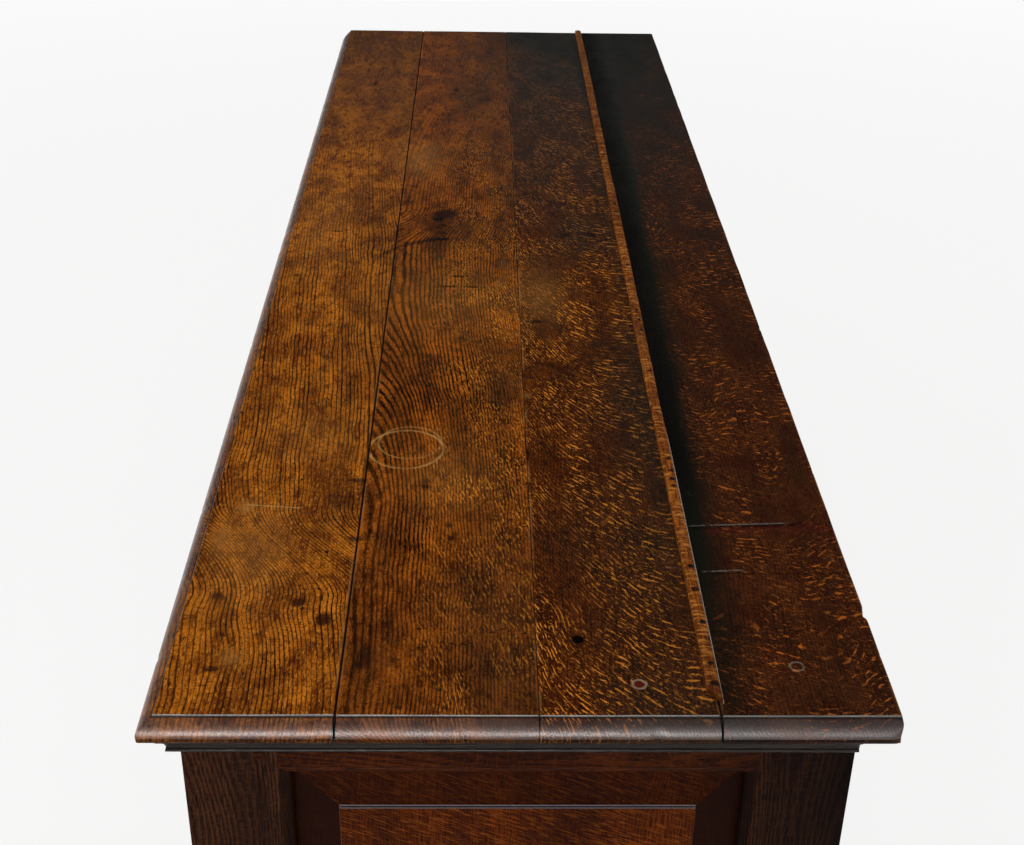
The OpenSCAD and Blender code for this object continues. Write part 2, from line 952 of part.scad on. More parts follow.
// Runners and guides of the drawers, and the bearers under the cupboard floor
module drawer_runners() {
    muntin_x = bay_w / 2;
    end_in = end_x - frame_t;
    bearer_z = door_low - floor_t - bearer - glue;
    guide_from = -end_open_w / 2 + fit;
    guide_to = back_rail_y - glue;
    color(oak_lining) {
        for (side = [0, 1])
            mirror([side, 0, 0]) {
                translate([muntin_x - runner_reach, inside_from + glue, drawer_low - runner_t])
                    cube([muntin_w + 2 * runner_reach, inside_len - 2 * glue, runner_t]);
                translate([muntin_x, inside_from + glue, drawer_low + glue])
                    cube([muntin_w, inside_len - 2 * glue, guide_h]);
                translate([0, 0, drawer_low - runner_t])
                    linear_extrude(runner_t)
                        intersection() {
                            inside_outline();
                            translate([inner_x - runner_reach, -body_depth / 2])
                                square([post_face + runner_reach, body_depth]);
                        }
                translate([inner_x, guide_from, drawer_low + glue])
                    cube([post_face - back_post_face - fit, guide_to - guide_from, guide_h]);
                translate([end_in - bearer - glue, -end_open_w / 2 + glue, bearer_z])
                    cube([bearer, end_open_w - 2 * glue, bearer]);
            }
        translate([-inner_x + glue, inside_from + glue, bearer_z])
            cube([2 * (inner_x - glue), bearer, bearer]);
        translate([-back_rail_x + glue, back_rail_y - glue - bearer, bearer_z])
            cube([2 * (back_rail_x - glue), bearer, bearer]);
    }
}

// Blocks on the rails that stop the drawers and the doors flush with the frame
module stop_blocks() {
    drawer_stop = [stop_len, frame_t - drawer_front_t - run_fit, bottom_rise + slide_gap - 2];
    door_stop = [stop_len, door_stop_t, 2 * door_stop_drop];
    spread = bay_w * 0.6;
    color(oak_lining) {
        for (bay = [0 : 2], side = [-0.5, 0.5])
            translate([bay_x(bay) + side * spread - stop_len / 2, 0, drawer_low + glue])
                translate([0, inside_from - drawer_stop[1], 0])
                    cube(drawer_stop);
        for (bay = [0, 2], side = [-0.5, 0.5])
            translate([bay_x(bay) + side * spread - stop_len / 2, 0, door_high - door_stop_drop])
                translate([0, inside_from + run_fit, 0])
                    cube(door_stop);
    }
}

// Drawers. These are drawn with the left edge of the opening at X = 0, the front's face at Y = 0 and
// the foot of the opening at Z = 0.

function bay_x(bay) = (bay - 1) * bay_pitch;

front_w = bay_w - 2 * reveal;
front_h = drawer_open_h - reveal - slide_gap;
side_h = front_h - side_drop;
tail_len = drawer_front_t - dovetail_lap;

// Puts a drawer piece in its bay
module in_bay(bay) {
    translate([bay_x(bay) - bay_w / 2, face_y, drawer_low])
        children();
}

// Shifts to the lower left corner of the drawer front, or to its lower right corner turned about
module at_front_corner(side) {
    translate([side == 0 ? reveal : bay_w - reveal, 0, slide_gap])
        mirror([side, 0, 0])
            children();
}

// Outline of the tails on a side's end: they run along X from 0, on a side that stands along Y
module tails(length, play = 0) {
    pitch = side_h / dovetails;
    neck = pitch / 4;
    tip = neck + length * dovetail_slope;
    for (i = [0 : dovetails - 1])
        translate([0, (i + 0.5) * pitch])
            polygon([
                [-lap, -neck - play], [length + play, -tip - play],
                [length + play, tip + play], [-lap, neck + play]
            ]);
}

// Puts the tails at the front or the back end of a side, in the plane of its outline
module front_tails(play = 0) {
    translate([drawer_front_t, 0])
        mirror([1, 0])
            tails(tail_len, play);
}

module back_tails(play = 0) {
    translate([drawer_depth - lining_t, 0])
        tails(lining_t, play);
}

// Gives an outline in the plane of a side its thickness, from X = 0
module side_plate(thickness) {
    rotate([90, 0, 90])
        linear_extrude(thickness)
            children();
}

// The groove for the bottom runs on through the front dovetails
module drawer_side() {
    groove_y = drawer_front_t - bottom_groove - fit;
    difference() {
        side_plate(lining_t)
            union() {
                translate([drawer_front_t, 0])
                    square([drawer_depth - drawer_front_t - lining_t, side_h]);
                front_tails();
                back_tails();
            }
        translate([lining_t - bottom_groove, groove_y, bottom_rise - fit / 2])
            cube([bottom_groove + eps, drawer_depth, drawer_bottom_t + fit]);
    }
}

// The drawer back stands on the bottom, between and through the sides' tails
module drawer_back() {
    low = bottom_rise + drawer_bottom_t + fit / 2;
    difference() {
        translate([glue, drawer_depth - lining_t + glue, low])
            cube([front_w - 2 * glue, lining_t - glue, side_h - low]);
        for (side = [0, 1])
            translate([side * front_w, 0, 0])
                mirror([side, 0, 0])
                    translate([-eps, 0, 0])
                        side_plate(eps + lining_t + glue)
                            back_tails(glue);
    }
}

module drawer_box() {
    color(oak_lining) {
        for (side = [0, 1])
            at_front_corner(side)
                drawer_side();
        at_front_corner(0)
            drawer_back();
    }
}

module drawer_bottom() {
    inset = lining_t - bottom_groove + fit;
    from_y = drawer_front_t - bottom_groove;
    color(oak_lining)
        at_front_corner(0)
            translate([inset, from_y, bottom_rise])
                cube([front_w - 2 * inset, drawer_depth - from_y, drawer_bottom_t]);
}

// One strip of cockbead along X, mitred at both ends, with its outer edge at Z = 0
module cockbead(length) {
    round_y = bead_t / 2 - bead_proud;
    intersection() {
        rotate([90, 0, 90])
            linear_extrude(length)
                union() {
                    translate([round_y, 0])
                        square([bead_back - round_y, bead_t]);
                    translate([round_y, bead_t / 2])
                        circle(d = bead_t);
                }
        translate([0, bead_back + eps, 0])
            rotate([90, 0, 0])
                linear_extrude(bead_back + bead_proud + 2 * eps)
                    polygon([
                        [glue, 0], [length - glue, 0],
                        [length - glue - bead_t, bead_t], [glue + bead_t, bead_t]
                    ]);
    }
}

// The four strips of cockbead round a drawer front
module cockbeads() {
    places = [[0, 0, 0], [front_w, 0, 0], [front_w, 0, front_h], [0, 0, front_h]];
    for (side = [0 : 3])
        translate(places[side])
            rotate([0, -90 * side, 0])
                cockbead(side % 2 == 0 ? front_w : front_h);
}

handle_z = (drawer_open_h + bail_drop) / 2 - handle_low;

function handle_x(handle) = bay_w / 2 + (handle - 0.5) * handle_spread;

module at_handle_posts() {
    for (handle = [0, 1], end = [-1, 1])
        translate([handle_x(handle) + end * handle_span / 2, 0, handle_z])
            children();
}

module drawer_front() {
    bead_in = bead_t + glue;
    color(oak_frame)
        difference() {
            at_front_corner(0)
                difference() {
                    cube([front_w, drawer_front_t, front_h]);
                    difference() {
                        translate([-eps, -eps, -eps])
                            cube([front_w + 2 * eps, bead_back + eps + glue, front_h + 2 * eps]);
                        translate([bead_in, -2 * eps, bead_in])
                            cube([front_w - 2 * bead_in, bead_back + 4 * eps, front_h - 2 * bead_in]);
                    }
                    inset = lining_t - bottom_groove;
                    translate([inset, drawer_front_t - bottom_groove - fit, bottom_rise - fit / 2])
                        cube([front_w - 2 * inset, bottom_groove + fit + eps, drawer_bottom_t + fit]);
                }
            for (side = [0, 1])
                at_front_corner(side)
                    translate([-eps, 0, 0])
                        side_plate(eps + lining_t + glue)
                            front_tails(glue);
            at_handle_posts()
                translate([0, -eps, 0])
                    rotate([-90, 0, 0])
                        cylinder(r = post_shank_r + pin_fit, h = drawer_front_t + 2 * eps);
        }
    color(oak_dark)
        at_front_corner(0)
            cockbeads();
}

// A handle post: a stepped round plate, a neck, a ball head with a bore, and a shank with its nut.
// The ball's seam is turned away from the bore and the neck.
module handle_post() {
    // Radius and height of each step, from the plate's rim to the neck under the ball
    steps = [
        [rosette_r, 1.4], [rosette_r * 0.64, 2.4], [rosette_r * 0.4, 3.8],
        [post_shank_r - 0.4, handle_stand]
    ];
    difference() {
        union() {
            rotate([90, 0, 0])
                rotate_extrude()
                    for (step = steps)
                        square(step);
            translate([0, -handle_stand, 0])
                rotate([0, 0, -90])
                    sphere(r = post_head_r);
            translate([0, -lap, 0])
                rotate([-90, 0, 0])
                    cylinder(r = post_shank_r, h = drawer_front_t + nut_t + shank_out);
        }
        translate([0, -handle_stand, 0])
            rotate([0, 90, 0])
                cylinder(r = bail_pin_r + pin_fit, h = 2 * post_head_r + eps, center = true);
    }
    difference() {
        translate([-nut_w / 2, drawer_front_t + glue, -nut_w / 2])
            cube([nut_w, nut_t, nut_w]);
        translate([0, drawer_front_t - eps, 0])
            rotate([-90, 0, 0])
                cylinder(r = post_shank_r + pin_fit, h = nut_t + 2 * eps);
    }
}

module drawer_fittings() {
    color(brass)
        at_handle_posts()
            handle_post();
}

// A bend of the bail's rod that starts at the origin along X and turns up through bail_turn
module rod_bend(radius) {
    translate([0, 0, radius])
        rotate([90, 0, 0])
            rotate([0, 0, -90])
                rotate_extrude(angle = bail_turn)
                    translate([radius, 0])
                        circle(r = bail_r);
}

// A swan-neck bail on its axis. From the grip in the middle each side turns up, turns out again by
// the same angle, and ends in a pin. A slightly fuller bead covers the place where the bends meet.
module bail() {
    both_bends = bail_drop / (1 - cos(bail_turn));
    low_bend = both_bends * 0.6;
    neck_bend = both_bends - low_bend;
    shoulder_x = handle_span / 2 - post_head_r;
    neck_x = shoulder_x - 1;
    grip_x = neck_x - both_bends * sin(bail_turn);
    bead = [grip_x + low_bend * sin(bail_turn), 0, low_bend * (1 - cos(bail_turn)) - bail_drop];
    color(brass)
        translate([0, -handle_stand, 0]) {
            for (side = [0, 1])
                mirror([side, 0, 0]) {
                    translate([grip_x, 0, -bail_drop])
                        rod_bend(low_bend);
                    translate(bead)
                        sphere(r = bail_bead_r);
                    translate([neck_x, 0, 0])
                        rotate([0, 180, 0])
                            rod_bend(neck_bend);
                    translate([neck_x, 0, 0])
                        rotate([0, 90, 0])
                            cylinder(r = bail_r, h = shoulder_x - neck_x);
                    translate([shoulder_x - lap, 0, 0])
                        rotate([0, 90, 0])
                            cylinder(r = bail_pin_r, h = 1.5 * post_head_r);
                }
            translate([0, 0, -bail_drop])
                rotate([0, 90, 0])
                    bail_grip(grip_x);
        }
}

// The grip, which swells to its middle, with a knop there. It is turned about Z.
module bail_grip(half) {
    swell_r = (pow(half, 2) + pow(grip_swell, 2)) / (2 * grip_swell);
    rotate_extrude()
        union() {
            intersection() {
                translate([bail_r + grip_swell - swell_r, 0])
                    circle(r = swell_r);
                translate([0, -half])
                    square([bail_r + 2 * grip_swell, 2 * half]);
            }
            translate([0, -knop_w / 2])
                square([bail_r + grip_swell + knop_proud, knop_w]);
        }
}

module bail_in_bay(bay, handle) {
    in_bay(bay)
        translate([handle_x(handle), 0, handle_z])
            bail();
}

// Doors. These are drawn with the left edge of the opening at X = 0, the frame's face at Y = 0 and
// the foot of the opening at Z = 0. The left door hangs on the left post, the right one mirrors it.

door_w = bay_w - 2 * reveal;
door_h = bay_h - 2 * reveal;
hinge_out = knuckle_r + run_fit;
third = knuckle_h / 3;
latch_x = door_w + reveal - latch_inset;
latch_z = bay_h / 2;

module at_left_door() {
    translate([-inner_x, face_y, door_low])
        children();
}

// Two stiles with mortises, and two rails with tenons between them
module door_frame() {
    sight_w = door_w - 2 * door_member;
    sight_h = door_h - 2 * door_member;
    rail_tenon = door_member - 8;
    color(oak_frame)
        translate([reveal, 0, reveal]) {
            difference() {
                for (side = [0, 1])
                    translate([side * door_w, 0, 0])
                        mirror([side, 0, 0]) {
                            difference() {
                                cube([door_member, frame_t, door_h]);
                                for (top = [0, 1])
                                    translate([door_member, 0, top * (door_h - door_member)])
                                        mirror([1, 0, 0])
                                            tenon(door_member, rail_tenon, fit);
                            }
                            translate([door_member, 0, door_member])
                                opening_edge(sight_w, sight_h, 3);
                        }
                translate([latch_x - reveal, -eps, latch_z - reveal])
                    rotate([-90, 0, 0])
                        cylinder(r = latch_r + pin_fit, h = frame_t + 2 * eps);
            }
            for (top = [0, 1])
                translate([door_member, 0, top * door_h])
                    mirror([0, 0, top]) {
                        translate([glue, 0, 0])
                            cube([sight_w - 2 * glue, frame_t, door_member]);
                        translate([sight_w - glue, 0, 0])
                            tenon(door_member, rail_tenon);
                        translate([glue, 0, 0])
                            mirror([1, 0, 0])
                                tenon(door_member, rail_tenon);
                        translate([0, 0, door_member])
                            opening_edge(sight_w, sight_h, 0);
                    }
        }
}

module door_panel() {
    inset = reveal + door_member;
    color(oak_frame)
        translate([inset, 0, inset])
            raised_panel(bay_w - 2 * inset, bay_h - 2 * inset);
}

// Puts a hinge on its axis, in the gap beside the door and just proud of the frame
module at_hinges() {
    for (z = [reveal + hinge_inset, reveal + door_h - hinge_inset])
        translate([reveal / 2, -hinge_out, z])
            children();
}

// One side of an H-shaped hinge, standing to +X of its axis: an upright bar with round ends and
// three nail heads, and the knuckles given as [low, high] from the hinge's middle
module hinge_side(knuckles) {
    bar_x = knuckle_r + hinge_gap + hinge_bar / 2;
    leaf_y = hinge_out - glue;
    nails = [-0.4, 0, 0.4];
    translate([0, leaf_y, 0])
        rotate([90, 0, 0]) {
            linear_extrude(leaf_t)
                union() {
                    translate([bar_x - hinge_bar / 2, -hinge_h / 2])
                        square([hinge_bar, hinge_h]);
                    for (end = [-1, 1])
                        translate([bar_x, end * hinge_h / 2])
                            circle(r = hinge_bar * 0.42);
                    for (k = knuckles)
                        translate([0, k[0]])
                            square([bar_x, k[1] - k[0]]);
                }
            for (n = nails)
                translate([bar_x, n * hinge_h, leaf_t - lap])
                    cylinder(r = hinge_nail_r, h = hinge_nail_h + lap);
        }
    for (k = knuckles)
        translate([0, 0, k[0]])
            cylinder(r = knuckle_r, h = k[1] - k[0]);
}

// The door's side of each hinge, with the bore of its knuckle
module door_leaves() {
    half = (third - run_fit) / 2;
    color(iron)
        at_hinges()
            difference() {
                hinge_side([[-half, half]]);
                cylinder(r = pin_r + pin_fit, h = knuckle_h, center = true);
            }
}

// The frame's side of each hinge, with its pin
module fixed_leaves() {
    outer = knuckle_h / 2;
    inner = (third + run_fit) / 2;
    button_r = pin_r + 0.8;
    button_h = 1.6;
    at_hinges() {
        mirror([1, 0, 0])
            hinge_side([[-outer, -inner], [inner, outer]]);
        cylinder(r = pin_r, h = knuckle_h - 2 * eps, center = true);
        for (end = [-1, 1])
            translate([0, 0, end * (outer + button_h / 2 - lap)])
                cylinder(r = button_r, h = button_h, center = true);
    }
}

module hinge_frame_leaves() {
    color(iron)
        for (side = [0, 1])
            mirror([side, 0, 0])
                at_left_door()
                    fixed_leaves();
}

// A turned knob on a shank that carries the latch tongue behind the door. The tongue hangs down and
// turns behind the stile beside the door.
module door_latch() {
    rim_r = 5;
    head_y = knob_out - rim_r - 1;
    dome_r = 40;
    rose = [7.5, 2];
    color(brass)
        translate([latch_x, 0, latch_z]) {
            rotate([90, 0, 0])
                rotate_extrude()
                    intersection() {
                        union() {
                            translate([0, run_fit])
                                square(rose);
                            translate([0, run_fit])
                                square([latch_r, head_y]);
                            translate([0, head_y - rim_r])
                                square([knob_r - rim_r, 2 * rim_r]);
                            translate([knob_r - rim_r, head_y])
                                circle(r = rim_r);
                            intersection() {
                                translate([0, knob_out - dome_r])
                                    circle(r = dome_r);
                                translate([0, head_y])
                                    square([knob_r - rim_r, 2 * rim_r]);
                            }
                        }
                        square([2 * knob_r, knob_out + eps]);
                    }
            translate([0, -run_fit - lap, 0])
                rotate([-90, 0, 0])
                    cylinder(r = latch_r, h = frame_t + 2 * run_fit + lap + latch_t);
            translate([-latch_w / 2, frame_t + run_fit, -latch_len])
                cube([latch_w, latch_t, latch_len + latch_w / 2]);
        }
}

module right_door_side() {
    mirror([1, 0, 0])
        at_left_door()
            children();
}

top_front_board();
top_second_board();
top_third_board();
top_back_board();
plate_strip();
strip_nails();
cornice_front();
cornice_left();
cornice_right();
front_post_left();
front_post_right();
back_post_left();
back_post_right();
end_top_rail_left();
end_top_rail_right();
end_bottom_rail_left();
end_bottom_rail_right();
end_panel_left();
end_panel_right();
front_top_rail();
front_middle_rail();
front_bottom_rail();
drawer_muntin_left();
drawer_muntin_right();
bay_stile_left();
bay_stile_right();
centre_panel();
back_rails();
back_boarding();
cupboard_floor();
drawer_runners();
stop_blocks();
frame_pegs();
hinge_frame_leaves();
in_bay(0) drawer_front();  // left_drawer_front
in_bay(0) drawer_box();  // left_drawer_box
in_bay(0) drawer_bottom();  // left_drawer_bottom
in_bay(0) drawer_fittings();  // left_drawer_fittings
bail_in_bay(0, 0);  // left_drawer_bail_left
bail_in_bay(0, 1);  // left_drawer_bail_right
in_bay(1) drawer_front();  // middle_drawer_front
in_bay(1) drawer_box();  // middle_drawer_box
in_bay(1) drawer_bottom();  // middle_drawer_bottom
in_bay(1) drawer_fittings();  // middle_drawer_fittings
bail_in_bay(1, 0);  // middle_drawer_bail_left
bail_in_bay(1, 1);  // middle_drawer_bail_right
in_bay(2) drawer_front();  // right_drawer_front
in_bay(2) drawer_box();  // right_drawer_box
in_bay(2) drawer_bottom();  // right_drawer_bottom
in_bay(2) drawer_fittings();  // right_drawer_fittings
bail_in_bay(2, 0);  // right_drawer_bail_left
bail_in_bay(2, 1);  // right_drawer_bail_right
at_left_door() door_frame();  // left_door_frame
at_left_door() door_panel();  // left_door_panel
at_left_door() door_leaves();  // left_door_leaves
at_left_door() door_latch();  // left_door_latch
right_door_side() door_frame();  // right_door_frame
right_door_side() door_panel();  // right_door_panel
right_door_side() door_leaves();  // right_door_leaves
right_door_side() door_latch();  // right_door_latch
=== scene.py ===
# %% [markdown]
# # An enclosed oak dresser base
# The real object is a dresser base of joined oak from the eighteenth century: a top of four boards
# with a moulded edge, panelled ends, three drawers and two doors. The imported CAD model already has
# every piece at its real size, so it stays as the frame. This script gives each piece its wood or
# metal, and models the worn top again, because age is a matter of shape as well as of colour.

import math

import bpy
import numpy as np
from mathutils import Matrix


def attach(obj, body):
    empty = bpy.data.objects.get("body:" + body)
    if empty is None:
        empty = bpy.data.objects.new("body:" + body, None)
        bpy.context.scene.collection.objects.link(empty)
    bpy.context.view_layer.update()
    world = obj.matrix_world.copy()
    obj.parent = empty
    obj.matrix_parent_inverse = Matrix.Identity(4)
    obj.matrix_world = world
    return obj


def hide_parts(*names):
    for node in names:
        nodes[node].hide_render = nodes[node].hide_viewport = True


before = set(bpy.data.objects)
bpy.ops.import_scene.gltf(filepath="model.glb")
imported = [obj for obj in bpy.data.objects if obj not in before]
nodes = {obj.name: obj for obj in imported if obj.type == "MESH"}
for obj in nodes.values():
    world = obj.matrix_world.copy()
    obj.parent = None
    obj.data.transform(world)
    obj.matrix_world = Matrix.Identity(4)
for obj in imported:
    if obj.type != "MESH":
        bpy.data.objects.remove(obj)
bpy.context.view_layer.update()

# %% [markdown]
# ## Colours and shader nodes
# A colour is written as the hex value that one would read off a swatch. The renderer works with
# linear light, so one function turns it. Node trees could be clicked together in the editor. Here
# one small function adds a node: its inputs are given in the order of its live sockets, as numbers,
# hex colours or other nodes, which keeps a material readable as a recipe.

# %% Colour and node helpers


def linear(hex_colour):
    """Linear light of an sRGB hex value: ((c + 0.055) / 1.055) ^ 2.4, or c / 12.92 near black."""
    srgb = np.array([int(hex_colour[i : i + 2], 16) for i in (1, 3, 5)]) / 255
    rgb = np.where(srgb > 0.04045, ((srgb + 0.055) / 1.055) ** 2.4, srgb / 12.92)
    return (*rgb, 1.0)


def add(tree, kind, *inputs, **settings):
    """Adds a shader node with its settings, and fills or links its live sockets in their order."""
    node = tree.nodes.new("ShaderNode" + kind)
    for setting, value in settings.items():
        setattr(node, setting, value)
    for socket, value in zip([s for s in node.inputs if s.enabled], inputs):
        if isinstance(value, bpy.types.Node):
            value = next(s for s in value.outputs if s.enabled)
        if isinstance(value, bpy.types.NodeSocket):
            tree.links.new(value, socket)
        elif value is not None:
            socket.default_value = linear(value) if isinstance(value, str) else value
    return node


def new_material(name):
    """An empty material, its node tree, and the place on the object in metres."""
    material = bpy.data.materials.new(name)
    material.use_nodes = True
    tree = material.node_tree
    tree.nodes.clear()
    return material, tree, add(tree, "TexCoord").outputs["Object"]


def combine(tree, operation, *masks):
    """Joins masks or numbers, two at a time, with one operation of the Math node."""
    result = masks[0]
    for mask in masks[1:]:
        result = add(tree, "Math", result, mask, operation=operation)
    return result


def apart(tree, one, other):
    """How far apart two numbers are, |one - other|."""
    return add(tree, "Math", combine(tree, "SUBTRACT", one, other), operation="ABSOLUTE")


print("mid grey in linear light", round(float(linear("#808080")[0]), 4))

# %% [markdown]
# ## Camera
# The photograph looks along the dresser from its right-hand end and down at the top. Where the
# edges of the top run together in the picture gives the direction and the angle of view, and the
# known width of the top gives the distance. The camera could be aimed with a constraint. Three
# angles and a matrix say the same and stay put.

# %% Camera, with its focal length in pixels of the photograph's width, and metres
focal_px, picture_px = 1501.5, 1024
yaw, pitch, roll = np.radians([-1.494, 29.454, 1.078])
eye = np.array([1.735, -0.032, 1.541])
forward = np.array(
    [-math.cos(pitch) * math.cos(yaw), -math.cos(pitch) * math.sin(yaw), -math.sin(pitch)]
)
level = np.array([-math.sin(yaw), math.cos(yaw), 0.0])
upright = np.cross(level, forward)
across = math.cos(roll) * level + math.sin(roll) * upright
up = math.cos(roll) * upright - math.sin(roll) * level

camera = bpy.data.objects.new("camera", bpy.data.cameras.new("camera"))
bpy.context.scene.collection.objects.link(camera)
bpy.context.scene.camera = camera
placing = np.eye(4)
placing[:3, 0], placing[:3, 1], placing[:3, 2], placing[:3, 3] = across, up, -forward, eye
camera.matrix_world = placing.T
camera.data.sensor_width = 36
camera.data.lens = 36 * focal_px / picture_px
camera.data.clip_end = 60
print("lens", round(camera.data.lens, 2), "mm")

# %% [markdown]
# ## Floor, background and light
# The photograph was taken in a studio and cut out on white. A white backdrop could be lit until it
# burns out, but that light would wash over the oak. Here the world is white where the camera sees
# it, and its light on the wood is plain and lower. What wax mirrors is set apart from both: a white
# wall beyond the dresser's near end, which lays a grey sheen on the nosing, and a low horizon.
# Large soft lamps stand in for the studio's boxes. The one over the top isn't mirrored, so that it
# lights the boards without a veil, and a low bright card behind the camera shows in reflections
# only, where it draws the line of light on the nosing. The floor is matt white paper, which scatters
# light evenly and keeps the dresser's shadow.

# %% Background and paper
view_settings = bpy.context.scene.view_settings
view_settings.view_transform = "Standard"
sky_level = 0.30

world = bpy.data.worlds.new("studio")
bpy.context.scene.world = world
world.use_nodes = True
tree = world.node_tree
tree.nodes.clear()
rays = add(tree, "LightPath").outputs
direction = add(tree, "SeparateXYZ", add(tree, "TexCoord").outputs["Generated"])
# The horizon's glow has nearly faded at 9 degrees, and the wall fills the sky beyond the near end.
horizon = add(tree, "MapRange", direction.outputs["Z"], 0.0, 0.16, 0.8, 0.04)
white_wall = add(tree, "MapRange", direction.outputs["X"], 0.2, 0.8, 0.0, 2.2)
mirrored = combine(tree, "MAXIMUM", horizon, white_wall)
strength = add(tree, "Mix", rays["Is Glossy Ray"], sky_level, mirrored)
strength = add(tree, "Mix", rays["Is Camera Ray"], strength, 1.0)
background = add(tree, "Background", "#ffffff", strength)
add(tree, "OutputWorld", background)

# Uncoated white paper, matt because its fibres scatter the light. Towards its far edge it glows as
# white as the backdrop, so the two meet without a line.
floor_material, tree, place = new_material("floor_matt_white_paper")
rays = add(tree, "LightPath").outputs
seen = combine(tree, "MAXIMUM", rays["Is Camera Ray"], rays["Is Glossy Ray"])
paper = add(tree, "BsdfDiffuse", "#f1efec")
glow = add(tree, "Emission", "#ffffff", 1.0)
away = add(tree, "VectorMath", place, operation="LENGTH")
share = add(tree, "MapRange", away.outputs["Value"], 1.2, 7.0, 0.82, 1.0)
share = combine(tree, "MULTIPLY", seen, share)
add(tree, "OutputMaterial", add(tree, "MixShader", share, paper, glow))

print("world lights with", sky_level)

# %% Floor of white paper
half_floor = 14.0
floor_mesh = bpy.data.meshes.new("floor")
floor_mesh.from_pydata(
    [(x * half_floor, y * half_floor, 0.0) for x, y in [(-1, -1), (1, -1), (1, 1), (-1, 1)]],
    [],
    [(0, 1, 2, 3)],
)
floor_mesh.materials.append(floor_material)
floor = bpy.data.objects.new("floor", floor_mesh)
bpy.context.scene.collection.objects.link(floor)
print("floor", 2 * half_floor, "m wide")

# %% Lamps
# Each lamp has its place, what it points at, width and depth in metres, and watts.
lamps = {
    "lamp_over_top": ((0.5, -0.2, 3.0), (0.0, 0.0, 0.8), 2.6, 2.0, 33.0),
    "lamp_behind_camera": ((3.4, -0.55, 1.85), (0.9, -0.1, 0.6), 1.8, 1.1, 30.0),
    "card_behind_camera": ((3.2, -0.40, 1.2), (0.9, -0.1, 0.8), 2.4, 0.9, 52.0),
    "lamp_before_front": ((0.2, -3.6, 2.0), (0.0, -0.2, 0.5), 2.4, 1.8, 24.0),
    "lamp_at_back": ((-0.8, 3.6, 1.8), (0.0, 0.2, 0.5), 2.4, 1.6, 12.0),
}
for name, (place, target, width, depth, watts) in lamps.items():
    lamp = bpy.data.objects.new(name, bpy.data.lights.new(name, "AREA"))
    bpy.context.scene.collection.objects.link(lamp)
    lamp.data.shape, lamp.data.size, lamp.data.size_y = "RECTANGLE", width, depth
    lamp.data.energy = watts
    lamp.location = place
    lamp.visible_diffuse = name != "card_behind_camera"
    lamp.visible_glossy = name != "lamp_over_top"
    aim = np.array(target) - np.array(place)
    lamp.rotation_euler = (
        math.acos(-aim[2] / np.linalg.norm(aim)),
        0.0,
        math.atan2(aim[1], aim[0]) - math.pi / 2,
    )
print("lamps", len(lamps))

# %% [markdown]
# ## Soft random patterns
# Old wood never has an even tone, and a worn board is never quite flat. Random values on a coarse
# lattice, smoothed between its points, make such soft patches. A noise texture does this in a
# shader, but shapes and figure need the same patches as numbers on a mesh, so numpy makes them.

# %% Soft patches


def patches(x, y, size_x, size_y, seed):
    """Values from -1 to 1 that wander over patches of about this size in mm: seeded random numbers
    on a lattice, blended between its four nearest points with the weight 3t^2 - 2t^3."""
    lattice = np.random.default_rng(seed).uniform(-1, 1, (64, 64))
    u, v = x / size_x + 31.7, y / size_y + 29.3
    i, j = np.floor(u).astype(int), np.floor(v).astype(int)
    s, t = u - i, v - j
    s, t = s * s * (3 - 2 * s), t * t * (3 - 2 * t)
    near = lattice[i % 64, j % 64] * (1 - s) + lattice[(i + 1) % 64, j % 64] * s
    far = lattice[i % 64, (j + 1) % 64] * (1 - s) + lattice[(i + 1) % 64, (j + 1) % 64] * s
    return near * (1 - t) + far * t


def rise(value, low, high):
    """0 below low, 1 above high, and 3t^2 - 2t^3 between them."""
    t = np.clip((value - low) / (high - low), 0, 1)
    return t * t * (3 - 2 * t)


def spot(x, y, place):
    """A soft spot, exp(-d^2), where d is the distance from its middle in units of its radii. The
    place is (middle x, middle y, radius x, radius y)."""
    return np.exp(-(((x - place[0]) / place[2]) ** 2) - ((y - place[1]) / place[3]) ** 2)


def along(x, stations):
    """A value that runs through these stations (x, value), blended with 3t^2 - 2t^3 between them."""
    value = stations[0][1] + 0 * x
    for (low, before), (high, after) in zip(stations, stations[1:]):
        value = value + (after - before) * rise(x, low, high)
    return value


print("patches", patches(np.array([0.0, 50.0]), np.array([0.0, 9.0]), 90, 40, 1).round(3))

# %% [markdown]
# ## The boards of the top: shape
# Each board is 20 mm oak with a thumb moulding worked on its ends, and the front board has it along
# the front too. Two centuries have rounded the arrises, cupped the boards a little, nicked the
# nosing and broken the back edge. A box with a bevel can't show that. Here one section, from the
# field over the quirk and round the nosing to the underside, is carried along the edges, and the
# field between is a grid that can sink and swell.

# %% Sizes of the top, in millimetres
top_z = 838.0
board_t = 20.0
run, quirk = 11.5, 2.0
nosing_h = 13.2
columns, row_step = 800, 2.1
half_x, half_y = 923.0, 272.0
field_x, field_y = half_x - run, half_y - run
lean = np.linspace(math.radians(78), math.radians(-8), 13)
step = np.where(lean[1:] > 0.4, 1.0, 1.5) * (1.0 + 0.7 * np.sin(lean[1:]))
thumb = np.cumsum(np.stack([np.sin(lean[1:]) * step, -np.cos(lean[1:]) * step], 1), axis=0)
thumb = thumb / np.array([thumb[:, 0].max(), -thumb[-1, 1]]) * [run, nosing_h]
under = np.array([[10.6, 3.2], [9.4, 1.9], [7.6, 0.8], [5.4, 0.0], [0.0, 0.0]]) - [0, board_t]
edge_section = np.concatenate(
    [
        [[-0.9, 0.0], [-0.3, -0.12], [-0.02, -0.55], [0.0, -quirk + 0.15], [0.0, -quirk]],
        thumb - [0, quirk],
        under,
    ]
)
print("section of the edge:", len(edge_section), "points, out to", edge_section[:, 0].max())

# %% Grids to a closed mesh


def grid_of(x, y, z):
    """Points (x, y, z), where each coordinate is spread over the whole grid."""
    return np.stack(np.broadcast_arrays(x, y, z), -1)


